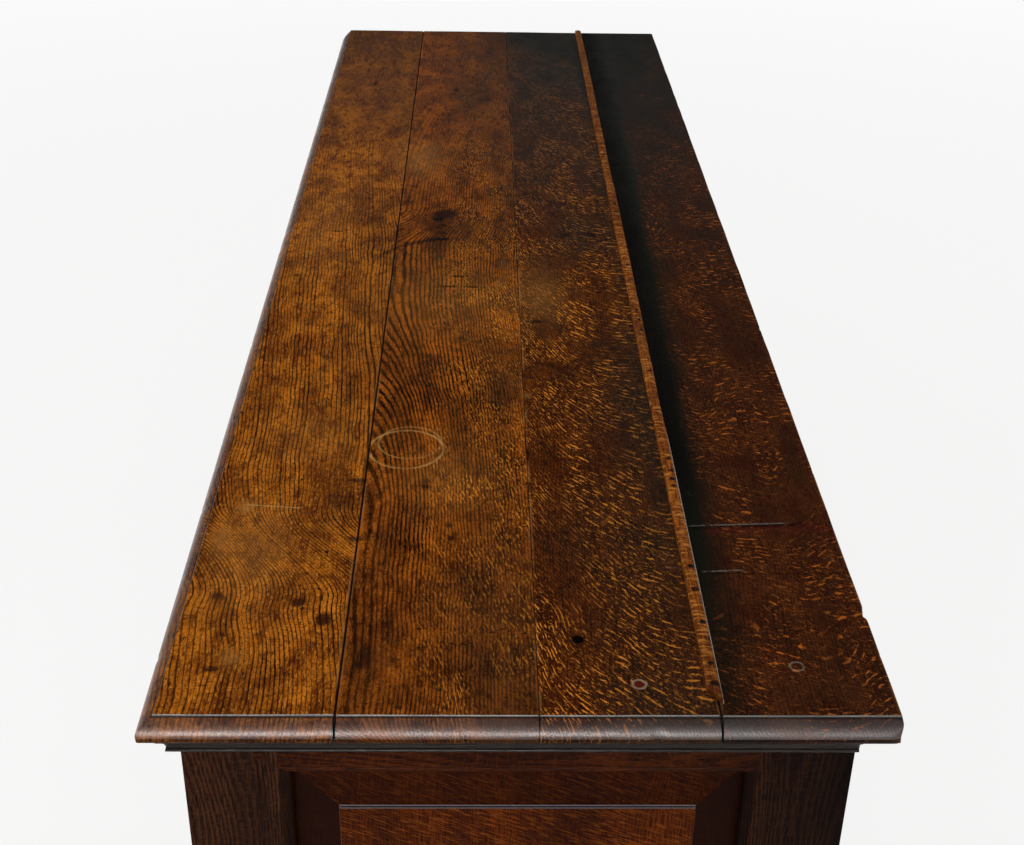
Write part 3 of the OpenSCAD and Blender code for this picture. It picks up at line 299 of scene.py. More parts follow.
def grid_faces(rows, columns, start):
    """Corner numbers of the quads of a grid whose points are numbered from start."""
    i, j = np.meshgrid(np.arange(rows - 1), np.arange(columns - 1), indexing="ij")
    a = start + i * columns + j
    return np.stack([a, a + 1, a + columns + 1, a + columns], -1).reshape(-1, 4)


def close_up(name, grids, outlines):
    """One object from grids of points and from flat outlines, in mm. Points that coincide become
    one, faces that have shrunk to a line are left out, and the others are turned outwards."""
    start, points, faces = 0, [], []
    for grid in grids:
        faces += grid_faces(*grid.shape[:2], start).tolist()
        points.append(grid.reshape(-1, 3))
        start += len(points[-1])
    for outline in outlines:
        faces.append(list(range(start, start + len(outline))))
        points.append(outline)
        start += len(outline)
    points = np.concatenate(points)
    rounded = np.round(points, 2)
    first, index = np.unique(rounded, axis=0, return_index=True, return_inverse=True)[1:]
    index = index.reshape(-1)
    faces = [[index[k] for k in face] for face in faces]
    faces = [[k for n, k in enumerate(face) if k != face[n - 1]] for face in faces]
    mesh = bpy.data.meshes.new(name)
    corners = (points[first] / 1000).tolist()
    mesh.from_pydata(corners, [], [face for face in faces if len(set(face)) > 2])
    mesh.validate()
    piece = bpy.data.objects.new(name, mesh)
    bpy.context.scene.collection.objects.link(piece)
    bpy.context.view_layer.objects.active = piece
    bpy.ops.object.select_all(action="DESELECT")
    piece.select_set(True)
    bpy.ops.object.mode_set(mode="EDIT")
    bpy.ops.mesh.select_all(action="SELECT")
    bpy.ops.mesh.normals_make_consistent(inside=False)
    bpy.ops.object.mode_set(mode="OBJECT")
    return piece


def points_of(piece):
    """The vertices of a piece in mm, as one array."""
    flat = np.zeros(len(piece.data.vertices) * 3, np.float32)
    piece.data.vertices.foreach_get("co", flat)
    return flat.reshape(-1, 3).astype(float) * 1000


def set_points(piece, points):
    """Writes vertices given in mm back to a piece."""
    piece.data.vertices.foreach_set("co", (points / 1000).astype(np.float32).ravel())
    piece.data.update()


print("mesh helpers ready")

# %% A board of the top


def edge_stations(low, high):
    """Stations from low to high about a row apart, with extra ones at both ends for the arris."""
    inner = np.linspace(low + 4, high - 4, max(2, int((high - low) / row_step)))
    close = np.array([0.0, 0.25, 0.7, 1.4, 2.4])
    return np.concatenate([low + close, inner, (high - close)[::-1]])


def board_of_top(name, low, high, moulded_front):
    """Section along X: underside, left nosing, field, right nosing, underside, carried from the
    board's low Y to its high Y. A moulded front carries the same section along X, mitred."""
    out, height = edge_section.T
    height = top_z + height
    share = np.linspace(-1, 1, columns)
    chain_x = np.concatenate([-(field_x + out[::-1]), share[1:-1] * (field_x + out[0]), field_x + out])
    chain_z = np.concatenate([height[::-1], np.full(columns - 2, top_z), height])
    chain_out = np.concatenate([out[::-1], np.full(columns - 2, out[0]), out])
    way = (edge_stations(low, high) - low) / (high - low)
    start = -(field_y + chain_out) if moulded_front else np.full(len(chain_x), low)
    y = start[:, None] + (high - start)[:, None] * way
    field = grid_of(chain_x[:, None], y, chain_z[:, None])
    k = len(edge_section)
    flat = field[k - 1 : -(k - 1)]
    grids = [field]
    outlines = []
    if moulded_front:
        out, height = out[:, None], height[:, None]
        grids.append(grid_of(share * (field_x + out), -(field_y + out), height))
    sides = [-1] if moulded_front else [0, -1]
    for side in sides:
        wall = np.stack([flat[:, side], flat[:, side]])
        wall[1, :, 2] = top_z - board_t
        wall[1, 0, 0], wall[1, -1, 0] = -field_x, field_x
        grids.append(wall)
        outlines.append(field[:k, side])
        outlines.append(field[-k:, side])
    rim = [field[0], grids[-1][1], field[-1][::-1], grids[1][-1][::-1]]
    outlines.append(np.concatenate(rim))
    return close_up(name, grids, outlines)


boards = {
    "top_front_board": (-field_y + edge_section[0, 0], -132.8, True),
    "top_second_board": (-131.2, 12.8, False),
    "top_third_board": (13.2, 141.7, False),
    "top_back_board": (143.3, half_y, False),
}
tops = {}
for node, (low, high, moulded) in boards.items():
    tops[node] = board_of_top("worn_" + node, low, high, moulded)
    print(node, len(tops[node].data.vertices), "vertices")

# %% [markdown]
# ## The boards of the top: age
# Wear could be sculpted. Here it is a sum of small, named causes, so it can be changed: a slow
# swelling of the field, arrises rounded off along the joints, dents in the nosing, a broken back
# edge, and corners that two centuries of passing have knocked off. Wear only takes wood away.

# %% Wear of the boards
# Each corner, and how much of it is knocked off along X and Y, in millimetres.
clipped_corners = [
    ((-half_x, -half_y), (26.0, 12.0)),
    ((half_x, -half_y), (1.5, 1.5)),
    ((-half_x, half_y), (9.0, 8.0)),
    ((half_x, half_y), (4.0, 5.0)),
]


def wear(points, low, high, seed, back_edge):
    """Sinks the field by soft patches and rounds its long arrises, apart from the moulded one, by
    R - sqrt(R^2 - (R - d)^2), where d is the distance from the arris. Then dents the nosing inwards,
    chips the back edge, and clips the corners: there the share t of the way from the corner, under 2,
    becomes 1 + t^2 / 4, which keeps the points apart."""
    x, y, z = points.T.copy()
    on_top = rise(z - top_z, -2.2, -0.3)
    sink = 0.3 + 0.3 * patches(x, y, 210, 60, seed)
    for edge in (low, high):
        if edge < -field_y:
            continue
        radius = 0.9 + 0.5 * patches(x, 0 * x, 26, 1, seed + 1)
        if edge == half_y:
            radius = 1.6 + 1.0 * patches(x, 0 * x, 30, 1, seed + 1)
        inside = np.clip(radius - np.abs(y - edge), 0, radius)
        sink = sink + radius - np.sqrt(radius**2 - inside**2)
    z -= on_top * sink
    dent = 0.7 * rise(patches(x, y, 17, 17, seed + 2), 0.45, 1.0) * rise(top_z - z, 2.2, 5.0)
    x -= np.sign(x) * dent * rise(np.abs(x), field_x, field_x + 4)
    y += dent * rise(-y, field_y, field_y + 4)
    if back_edge:
        chips = patches(x, 0 * x, 27, 1, seed + 3) + 0.5 * patches(x, 0 * x, 8, 1, seed + 4)
        y -= 3.5 * rise(chips, 0.75, 1.4) * rise(y, high - 14, high) * rise(z - top_z, -16, -3)
    for (corner_x, corner_y), (size_x, size_y) in clipped_corners:
        t = np.abs(x - corner_x) / size_x + np.abs(y - corner_y) / size_y
        pull = np.where(t < 2, 1 + t * t / 4 - t, 0) / (1 / size_x**2 + 1 / size_y**2)
        x -= np.sign(corner_x) * pull / size_x
        y -= np.sign(corner_y) * pull / size_y
    return np.stack([x, y, z], 1)


# %% [markdown]
# ## The boards of the top: figure
# A board shows the growth rings of its log: close lines where it was cut through the rings, wide
# arches where it was cut along them. Drawn stripes never look like this. Here each point of the
# mesh gets its distance from the log's heart, which wanders through the board's length, and the
# shader draws rings of that. The sheets of ray cells stand across the rings, so each point also
# gets the number of sheets crossed on the way to it. Spots at given places darken the patina, thin
# the rings or push them aside, as knots do.

# %% Figure of the four boards, in millimetres
# rays: spacing of the sheets, turns and power of their sweep, swirl, and their weakest and strongest
# show. ring: width of a year. heart and depth: how far the log's heart lies beside and below the
# surface at stations along X, and drift: how far its depth wanders. waves, faint and shade: spots
# (x, y, radius x, radius y), each with how much it pushes the rings aside, fades or darkens them.
woods = {
    "top_front_board": {
        "rays": (8.0, 0.0, 2.2, 1.0, (0.1, 0.6)), "ring": 3.7, "seed": 11, "drift": 8.0,
        "heart": [(-850, -190), (-300, 40), (150, 60), (560, 84), (640, 88), (775, 172), (911, 182)],
        "depth": [(-700, 46), (200, 95)],
        "waves": [((690, -250, 60, 44), 20), ((840, -215, 34, 26), 6), ((790, -185, 30, 20), -5)],
        "faint": [((840, -216, 24, 16), 0.4), ((860, -160, 50, 16), 0.3), ((600, -150, 40, 24), 0.4)],
        "shade": [
            ((-923, -200, 560, 200), 0.6), ((300, -240, 300, 14), 0.15), ((200, -158, 460, 20), 0.15),
            ((633, -152, 36, 13), 0.35), ((0, -150, 90, 26), 0.22), ((420, -160, 110, 24), 0.12),
            ((690, -165, 60, 18), 0.12), ((-480, -140, 140, 20), 0.15),
        ],
    },
    "top_second_board": {
        "rays": (12.0, 40.0, 1.0, 1.4, (0.0, 1.0)), "ring": 2.7, "seed": 23, "drift": 4.0,
        "heart": [(-700, -118), (-100, -146), (911, -142)],
        "depth": [(-700, 46), (-60, 56), (60, 82), (180, 82), (650, 46), (911, 40)],
        "waves": [((640, -124, 60, 16), 10), ((700, -60, 90, 40), 3)],
        "faint": [((870, -96, 50, 24), 0.5), ((860, 6, 180, 40), 0.4), ((420, 6, 300, 24), 0.3)],
        "shade": [
            ((-923, 20, 420, 110), 0.75), ((-500, -40, 220, 60), 0.4), ((-150, 5, 230, 34), 0.45),
            ((400, 6, 60, 26), 0.4), ((880, -100, 60, 30), 0.25), ((830, -14, 190, 44), 0.68),
            ((420, -20, 120, 30), 0.2), ((20, -60, 70, 50), 0.32), ((500, -10, 200, 18), 0.12),
            ((705, -112, 46, 10), 0.35),
        ],
    },
    "top_third_board": {
        "rays": (8.0, 22.0, 2.2, 2.2, (0.1, 1.0)), "ring": 2.4, "seed": 37, "drift": 14.0,
        "heart": [(-700, -160), (450, -120)], "depth": [(-700, 90), (450, 60)], "faint": [],
        "waves": [((520, 60, 120, 40), 10), ((250, 80, 120, 40), -9)],
        "shade": [
            ((-923, 80, 640, 130), 0.98), ((700, 110, 300, 46), 0.35), ((-250, 30, 160, 40), 0.12),
            ((660, 45, 70, 30), 0.12), ((25, 88, 70, 34), 0.55), ((0, 141, 900, 20), 0.45),
            ((-200, 60, 200, 60), 0.2), ((420, 120, 160, 30), 0.3), ((900, 100, 40, 40), 0.3),
        ],
    },
    "top_back_board": {
        "rays": (9.0, 3.0, 2.2, 4.5, (0.0, 0.8)), "ring": 2.6, "seed": 41, "drift": 14.0,
        "heart": [(-700, -40), (450, 0)], "depth": [(-700, 120)], "faint": [],
        "waves": [((700, 210, 90, 40), 12)],
        "shade": [
            # Along the strip, at y 148 and 156, the dark is partly patina and partly the strip's painted
            # shadow.
            ((-923, 200, 800, 240), 1.0), ((0, 156, 640, 22), 1.0), ((560, 148, 400, 14), 0.8),
            ((900, 272, 60, 30), 0.2),
        ],
    },
}
print("years per board about", {node: round(140 / wood["ring"]) for node, wood in woods.items()})

# %% [markdown]
# ## The boards of the top: marks of use
# Hot dishes leave pale rings, wet iron and ink leave black marks, sealing wax red spots, and a knife
# a scribed line. They could be painted on a picture of the top. As a list of places each mark keeps
# its real size, and it can be moved, paled or left out.

# %% Places of the marks, in millimetres
# discs: (x, y, inner radius, outer radius, strength, colour). scribed: (x, low y, high y, lean, half
# width, strength, colour). red_spots, ink_marks and ink_pools: (x, y, radius x, radius y). ink_arcs:
# (x, y, radius, width, strength, signs of x and y where it is left). pale_spots: (spot, strength).
discs = {
    "top_front_board": [(708, -156, 0, 1.9, 0.9, "#0b0806"), (786, -168, 0, 1.6, 0.8, "#0b0806")],
    "top_second_board": [(541, -98, 33.0, 35.4, 0.36, "#c89f5c"), (529, -95, 28.2, 30.0, 0.27, "#c89f5c")],
    "top_third_board": [
        (824, 45, 0, 4.6, 1.0, "#050302"), (877, 87, 3.6, 5.8, 0.5, "#94826e"),
        (877, 87, 0, 3.8, 0.95, "#4c140b"), (191, 103, 0, 2.4, 0.9, "#050302"),
    ],
    "top_back_board": [(856, 206, 4.4, 5.8, 0.35, "#8a7c6c"), (845, 250, 0, 2.0, 0.8, "#050302")],
}
scribed = {
    "top_back_board": [
        # Beside the black cuts run pale grey lines: a painted highlight along their raised edges.
        (668, 147, 236, -0.07, 1.3, 0.38, "#8b8a84"), (671, 147, 250, -0.07, 3.6, 0.8, "#050403"),
        (676, 160, 270, -0.07, 7.0, 0.35, "#4a1412"), (735, 150, 186, -0.08, 1.2, 0.38, "#8b8a84"),
        (738, 152, 272, -0.02, 1.4, 0.6, "#050403"), (612, 152, 158, 1.6, 0.8, 0.5, "#8b8a84"),
    ],
    "top_third_board": [(729, 118, 132, 0.0, 0.8, 0.5, "#6a5a48")],
    "top_front_board": [(637, -232, -182, 0.1, 1.2, 0.35, "#c8a468")],
}
red_spots = [
    (770, -236, 5, 5), (778, -172, 6, 7), (861, -226, 4, 6), (800, -150, 9, 7), (597, -77, 4, 4),
    (687, -54, 4, 4), (677, -122, 4, 3), (309, -50, 5, 3), (-595, -197, 9, 4), (-566, -69, 12, 4),
    (-43, -75, 16, 16), (877, 87, 4.5, 4.5),
]
ink_marks = [
    (39, -76, 4, 12), (-26, -83, 5, 9), (149, -55, 4, 9), (178, -66, 2.6, 13), (178, -38, 2.6, 11),
    (596, -139, 4, 12), (689, -134, 5, 9), (268, 30, 5, 11),
    (903, -87, 3, 3), (16, -205, 3, 10), (150, -240, 4, 5), (606, -78, 5, 5), (668, -56, 4, 4),
]
ink_pools = [(848, -117, 30, 12), (0, -80, 46, 14), (25, 74, 14, 9), (25, 106, 14, 10)]
ink_arcs = [(130, -65, 91, 5.0, 0.75, (-1, -1)), (2, -2, 112, 6.0, 0.25, (-1, 0))]
pale_spots = [
    ((641, -231, 10, 7), 0.6), ((436, 16, 5, 5), 0.4),
    ((848, -214, 9, 8), 0.5), ((690, -245, 22, 9), 0.4), ((200, -60, 110, 100), 0.22),
    ((-250, -112, 70, 30), 0.4), ((520, -185, 50, 40), 0.15), ((710, -215, 70, 30), 0.3),
    ((200, 40, 60, 22), 0.22), ((590, -60, 60, 40), 0.2), ((0, -225, 150, 40), 0.2),
]
print("marks", sum(len(places) for places in [red_spots, ink_marks, ink_pools, ink_arcs, pale_spots]))

# %% Rings and rays of a board


def ring_distance(x, y, z, wood):
    """Distance from the log's heart, sqrt(dy^2 + dz^2), where the heart drifts through its stations
    along the board, the waves push the rings aside, and slow changes of growth spread some years
    and crowd others."""
    seed = wood["seed"]
    heart = along(x, wood["heart"])
    depth = along(x, wood["depth"]) + wood["drift"] * patches(x, 0 * x, 240, 1, seed)
    y = y - sum(push * spot(x, y, place) for place, push in wood["waves"])
    y = y + 2.6 * patches(x, y, 120, 60, seed + 1) + 1.1 * patches(x, y, 26, 16, seed + 2)
    distance = np.sqrt((y - heart) ** 2 + (z + depth) ** 2)
    return distance + 2.6 * patches(distance, 0 * x, 17, 1, seed + 3)


def rays_crossed(x, y, low, high, wood):
    """How many sheets of ray cells have been crossed, x / spacing + turns t^power, where t runs
    from the board's high Y to its low Y: with a power over 1 the sheets cross the board at one side
    and lean along it at the other. Soft patches bend them. Also returned: how strongly they show."""
    spacing, turns, power, swirl, (weak, strong) = wood["rays"]
    t = np.clip((high - y) / (high - low), 0, 1)
    count = x / spacing + turns * t**power
    count = count + swirl * patches(x, y, 105, 48, wood["seed"] + 9)
    count = count + 0.7 * patches(x, y, 30, 17, wood["seed"] + 10)
    shown = weak + (strong - weak) * rise(patches(x, y, 46, 22, wood["seed"] + 12) + 0.35, -0.5, 0.7)
    shown = shown * (0.15 + 0.85 * rise(y, -95, -35))
    return count, shown


print("hearts at mid length", [round(float(along(0, wood["heart"]))) for wood in woods.values()])

# %% Marks, wear and grime of a board


def marks_at(x, y):
    """Pale, dark and red marks of use at these places, each from 0 to 1. The dark also holds a band
    behind the strip on the back board: partly swept dirt, partly the strip's painted shadow.
    """
    pale = sum(amount * spot(x, y, place) for place, amount in pale_spots)
    ink_dirt_and_shadow = 0.8 * sum(rise(spot(x, y, place), 0.1, 0.9) for place in ink_marks)
    for cx, cy, radius, width, amount, (side_x, side_y) in ink_arcs:
        from_line = (np.hypot(x - cx, y - cy) - radius) / width
        shown = rise(side_x * (x - cx), 0, 50) * (rise(side_y * (y - cy), 0, 30) if side_y else 1)
        ink_dirt_and_shadow = ink_dirt_and_shadow + amount * shown * np.exp(-(from_line**2))
    # Behind the strip on the back board: partly swept dirt, partly the strip's painted shadow.
    swept_dirt_and_shadow = rise(y, 142, 145) * (1 - rise(y, 150 + 6 * patches(x, y, 50, 50, 9), 182))
    ink_dirt_and_shadow = ink_dirt_and_shadow + 0.95 * swept_dirt_and_shadow * (1 - 0.6 * rise(x, 560, 700))
    red = sum(rise(spot(x, y, place), 0.25, 0.6) for place in red_spots)
    for place in ink_pools:
        ink_dirt_and_shadow = ink_dirt_and_shadow + 0.75 * spot(x, y, place) * (0.8 + 0.5 * patches(x, y, 9, 9, 6))
    return [np.clip(mark, 0, 1) for mark in (pale, ink_dirt_and_shadow, red)]


def use_at(x, y, z, low, high, seed):
    """Worn orange arrises along the joints and under the nosing; grime in the quirk, grime and painted
    shade in the joints, painted shade under the nosing and underneath; and a film of dark wax on the
    nosing, partly a painted grey sheen towards its top; each from 0 to 1."""
    outwards = np.maximum(np.abs(x) - field_x, -y - field_y)
    inwards = np.minimum(np.abs(y - low), np.abs(high - y))
    wander = patches(x, y, 26, 26, seed + 8)
    worn = 0.6 * rise(-inwards, -1.6 - wander, -0.6) * rise(z, -2, 0) * rise(wander, -0.5, 0.6)
    under = rise(outwards, 1, 6) * rise(-z, 11.6 + 0.8 * wander, 13.4)
    worn = worn + 0.4 * under * rise(z, -18.5, -15.5) * rise(wander, -0.2, 0.7)
    grime_and_shade = rise(outwards, -0.8, -0.25) * (1 - rise(outwards, 0.1, 1.0)) * rise(z, -4.5, -2.5)
    # Grime in the quirk, grime and painted shade in the joints, and painted shade under the nosing and on
    # the underside.
    grime_and_shade = grime_and_shade + (inwards < 0.3) * rise(-z, 0.2, 0.8) + 0.55 * under + 0.75 * rise(-z, 19.2, 19.9)
    # Towards the top of the nosing the wax is greyer: partly dark wax, partly a painted grey sheen.
    wax_and_sheen = rise(outwards, 1.0, 2.5) * (1 - 0.6 * rise(-z, 4.5, 8.5 + wander)) * (0.75 + 0.25 * wander)
    return [np.clip(value, 0, 1) for value in (worn, grime_and_shade, wax_and_sheen)]


def arris_at(x, y, z):
    """A painted highlight: the thin bright line where the field breaks off to the quirk."""
    outwards = np.maximum(np.abs(x) - field_x, -y - field_y)
    line = rise(outwards, -0.85, -0.35) * (1 - rise(outwards, -0.02, 0.05)) * rise(z, -1.0, 0)
    return line * (0.75 + 0.5 * patches(x, y, 22, 22, 77))


print("a mark's middle is", float(spot(39, -76, ink_marks[0])))

# %% Write the figure on the boards
# Each board holds four sets of three numbers. figure: distance from the heart, patina, and how clear
# the rings are. rays: sheets crossed, how strongly they show, and the painted highlight at the quirk.
# marks: pale, ink and red, where ink also holds the band behind the strip, partly swept dirt and
# partly the strip's painted shadow. use: worn arrises, grime with painted shade, and wax with a
# painted grey sheen.


def write_attribute(piece, name, columns):
    """Stores three numbers for each vertex, for the shader to read."""
    attribute = piece.data.attributes.new(name, "FLOAT_VECTOR", "POINT")
    attribute.data.foreach_set("vector", np.stack(columns, 1).astype(np.float32).ravel())


for node, (low, high, moulded) in boards.items():
    piece, wood = tops[node], woods[node]
    points = points_of(piece)
    x, y, z = points.T
    seed = wood["seed"]
    dark = sum(amount * spot(x, y, place) for place, amount in wood["shade"])
    dark = dark + 0.10 * patches(x, y, 95, 38, seed + 5) + 0.05 * patches(x, y, 30, 15, seed + 6)
    rings = ring_distance(x, y, z - top_z, wood)
    clear = 0.92 + 0.22 * patches(x, y, 60, 26, seed + 7)
    clear = clear - sum(amount * spot(x, y, place) for place, amount in wood["faint"])
    write_attribute(piece, "figure", [rings, np.clip(dark, 0, 1), np.clip(clear, 0, 1)])
    write_attribute(piece, "rays", [*rays_crossed(x, y, low, high, wood), arris_at(x, y, z - top_z)])
    write_attribute(piece, "marks", marks_at(x, y))
    write_attribute(piece, "use", use_at(x, y, z - top_z, low, high, seed))
    set_points(piece, wear(points, low, high, seed, node == "top_back_board"))
    piece.data.set_sharp_from_angle(angle=math.radians(42))
    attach(piece, "carcase")
    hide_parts(node)
    print(node, "rings", round(float((rings / wood["ring"]).max())))

# %% [markdown]
# ## Old waxed oak
# Oak has open pores in bands, one band a year, and rays that show as flecks where the board was cut
# along them. The finish is two centuries of wax, smoke and polish over it: warm gold where hands
# and cloths went, near black where they didn't. A picture of wood would be simplest, but it would
# slide or stretch and can't be judged from other sides. Here the shader draws rings, pores, rays
# and patina one over the other, each at its real size. Only pores are drawn coarser: an oak's are
# 0.3 mm wide, which a pixel of the picture, 0.7 to 1.8 mm of the top, can't hold.

# %% Patterns and layers


def surface(tree, colour, height, roughness, relief, **sockets):
    """Joins colour, bump and roughness in one shader. Relief is the bump's real depth in metres."""
    bump = add(tree, "Bump", 1.0, relief, None, height)
    shader = add(tree, "BsdfPrincipled", colour, None, roughness)
    tree.links.new(bump.outputs["Normal"], shader.inputs["Normal"])
    for socket, value in sockets.items():
        shader.inputs[socket.replace("_", " ")].default_value = value
    add(tree, "OutputMaterial", shader)


def streaks(tree, place, size, low, high, turn=0.0, detail=2.0, twist=0.0):
    """A mask of streaks of this size in metres, turned about Z by this angle in degrees: noise that
    rises from 0 to 1 between low and high."""
    turned = (0.0, 0.0, math.radians(turn))
    place = add(tree, "Mapping", place, (0.0, 0.0, 0.0), turned, size, vector_type="TEXTURE")
    noise = add(tree, "TexNoise", place, 1.0, detail, 0.55, 2.0, twist)
    return add(tree, "MapRange", noise, low, high, 0.0, 1.0, interpolation_type="SMOOTHSTEP")


def layered(tree, colour, layers):
    """Lays colours one over the other. Each layer is (mask, strength, colour)."""
    for mask, strength, over in layers:
        share = add(tree, "Math", mask, strength, operation="MULTIPLY")
        colour = add(tree, "Mix", share, colour, over, data_type="RGBA")
    return colour


print("patterns and layers ready")

# %% Rings, spots and scribed lines as layers


def rings_and_spots(tree, place, discs, level):
    """Layers with a ring or spot at each of these places on a level: (x, y, inner radius, outer
    radius, strength, colour), in mm. A little noise in the distance frays its edge, and soft patches
    wear a large ring, such as a hot dish leaves."""
    fray = add(tree, "TexNoise", place, 260.0, 2.0)
    fray = add(tree, "MapRange", fray, 0.0, 1.0, -0.0013, 0.0013)
    uneven = streaks(tree, place, (0.022, 0.022, 0.022), 0.35, 0.62)
    uneven = add(tree, "MapRange", uneven, 0.0, 1.0, 0.4, 1.0)
    layers = []
    for x, y, inner, outer, strength, colour in discs:
        middle = (x / 1000, y / 1000, level / 1000)
        away = add(tree, "VectorMath", place, middle, operation="DISTANCE")
        away = combine(tree, "ADD", away.outputs["Value"], fray)
        off = apart(tree, away, (inner + outer) / 2000)
        half = (outer - inner) / 2000
        mask = add(tree, "MapRange", off, half - 0.0004, half + 0.0006, 1.0, 0.0)
        if inner > 20:
            mask = combine(tree, "MULTIPLY", mask, uneven)
        layers.append((mask, strength, colour))
    return layers


def scribed_lines(tree, place, lines):
    """Layers with a thin line across the board for each of these: (x, low y, high y, lean, half
    width, strength, colour), in mm, where the lean is how far x moves in one mm of y."""
    lengthways, over = add(tree, "SeparateXYZ", place).outputs[:2]
    fray = add(tree, "MapRange", add(tree, "TexNoise", place, 180.0, 2.0), 0.30, 0.55, 0.1, 1.0)
    layers = []
    for x, low, high, lean, half, strength, colour in lines:
        shifted = add(tree, "Math", over, -lean, lengthways, operation="MULTIPLY_ADD")
        off = apart(tree, shifted, (x - lean * low) / 1000)
        line = add(tree, "MapRange", off, half / 2000, half / 1000, 1.0, 0.0)
        off = apart(tree, over, (low + high) / 2000)
        length = (high - low) / 2000
        span = add(tree, "MapRange", off, length - 0.004, length, 1.0, 0.0)
        layers.append((combine(tree, "MULTIPLY", line, span, fray), strength, colour))
    return layers


print("rings and spots", {node: len(places) for node, places in discs.items()})

# %% Bands and flecks of a board


def attribute(tree, name):
    """The three numbers that each vertex holds under this name."""
    vector = add(tree, "Attribute", attribute_name=name).outputs["Vector"]
    return add(tree, "SeparateXYZ", vector).outputs


def year_bands(tree, place, wood, ring, clear):
    """The dark porous wood that each year starts with: the fraction of the years, ring / width,
    frayed by 0.3 mm, longer in some years than in others, and broken up into vessels 0.9 mm wide.
    Wax has filled the pores of the far end, so there they show less."""
    ragged = streaks(tree, place, (0.006, 0.0011, 0.0015), 0.2, 0.8)
    wobble = add(tree, "MapRange", ragged, 0.0, 1.0, -0.3, 0.3)
    years = combine(tree, "DIVIDE", combine(tree, "ADD", ring, wobble), wood["ring"])
    year = add(tree, "Math", years, operation="FRACT")
    luck = add(tree, "Math", years, operation="FLOOR")
    luck = add(tree, "TexWhiteNoise", luck, noise_dimensions="1D").outputs["Value"]
    aged = add(tree, "Math", luck, 0.25, year, operation="MULTIPLY_ADD")
    late = add(tree, "MapRange", aged, *wood["late"], 1.0, 0.0, interpolation_type="SMOOTHSTEP")
    early = add(tree, "MapRange", year, 0.0, 0.07, 0.0, 1.0)
    vessels = streaks(tree, place, (0.010, 0.0009, 0.0012), 0.36, 0.50)
    vessels = add(tree, "MapRange", vessels, 0.0, 1.0, wood["solid"], 1.0)
    filled = add(tree, "MapRange", add(tree, "SeparateXYZ", place), 0.10, -0.5, 1.0, 0.22)
    return combine(tree, "MULTIPLY", late, early, vessels, filled, clear)


def ray_flecks(tree, place, wood, sheet, shown):
    """Flecks where sheets of ray cells come to the surface: lines at the middle of each sheet's
    fraction, broken into lengths by a noise of their own, and smaller flecks between them."""
    fray = add(tree, "TexNoise", place, 330.0, 2.0)
    sheet = combine(tree, "ADD", sheet, add(tree, "MapRange", fray, 0.0, 1.0, -0.3, 0.3))
    number = add(tree, "Math", sheet, operation="FLOOR")
    x, y = add(tree, "SeparateXYZ", place).outputs[:2]
    cut = [combine(tree, "DIVIDE", x, wood["cut"]), combine(tree, "DIVIDE", y, wood["cut"])]
    cut = add(tree, "CombineXYZ", *cut, combine(tree, "MULTIPLY", number, 7.3))
    cut = add(tree, "TexNoise", cut, 1.0, 1.0)
    width = add(tree, "MapRange", cut, *wood["broken"], 0.0, wood["width"])
    off = apart(tree, add(tree, "Math", sheet, operation="FRACT"), 0.5)
    ray = add(tree, "MapRange", combine(tree, "SUBTRACT", off, width), -0.08, 0.0, 1.0, 0.0)
    flecks = combine(tree, "MULTIPLY", ray, shown)
    small = streaks(tree, place, wood["small"], 0.60, 0.70, turn=wood["lean"], detail=1.0, twist=0.5)
    return combine(tree, "MAXIMUM", flecks, combine(tree, "MULTIPLY", small, shown, 0.7))


print("bands and flecks ready")

# %% Oak of the top boards


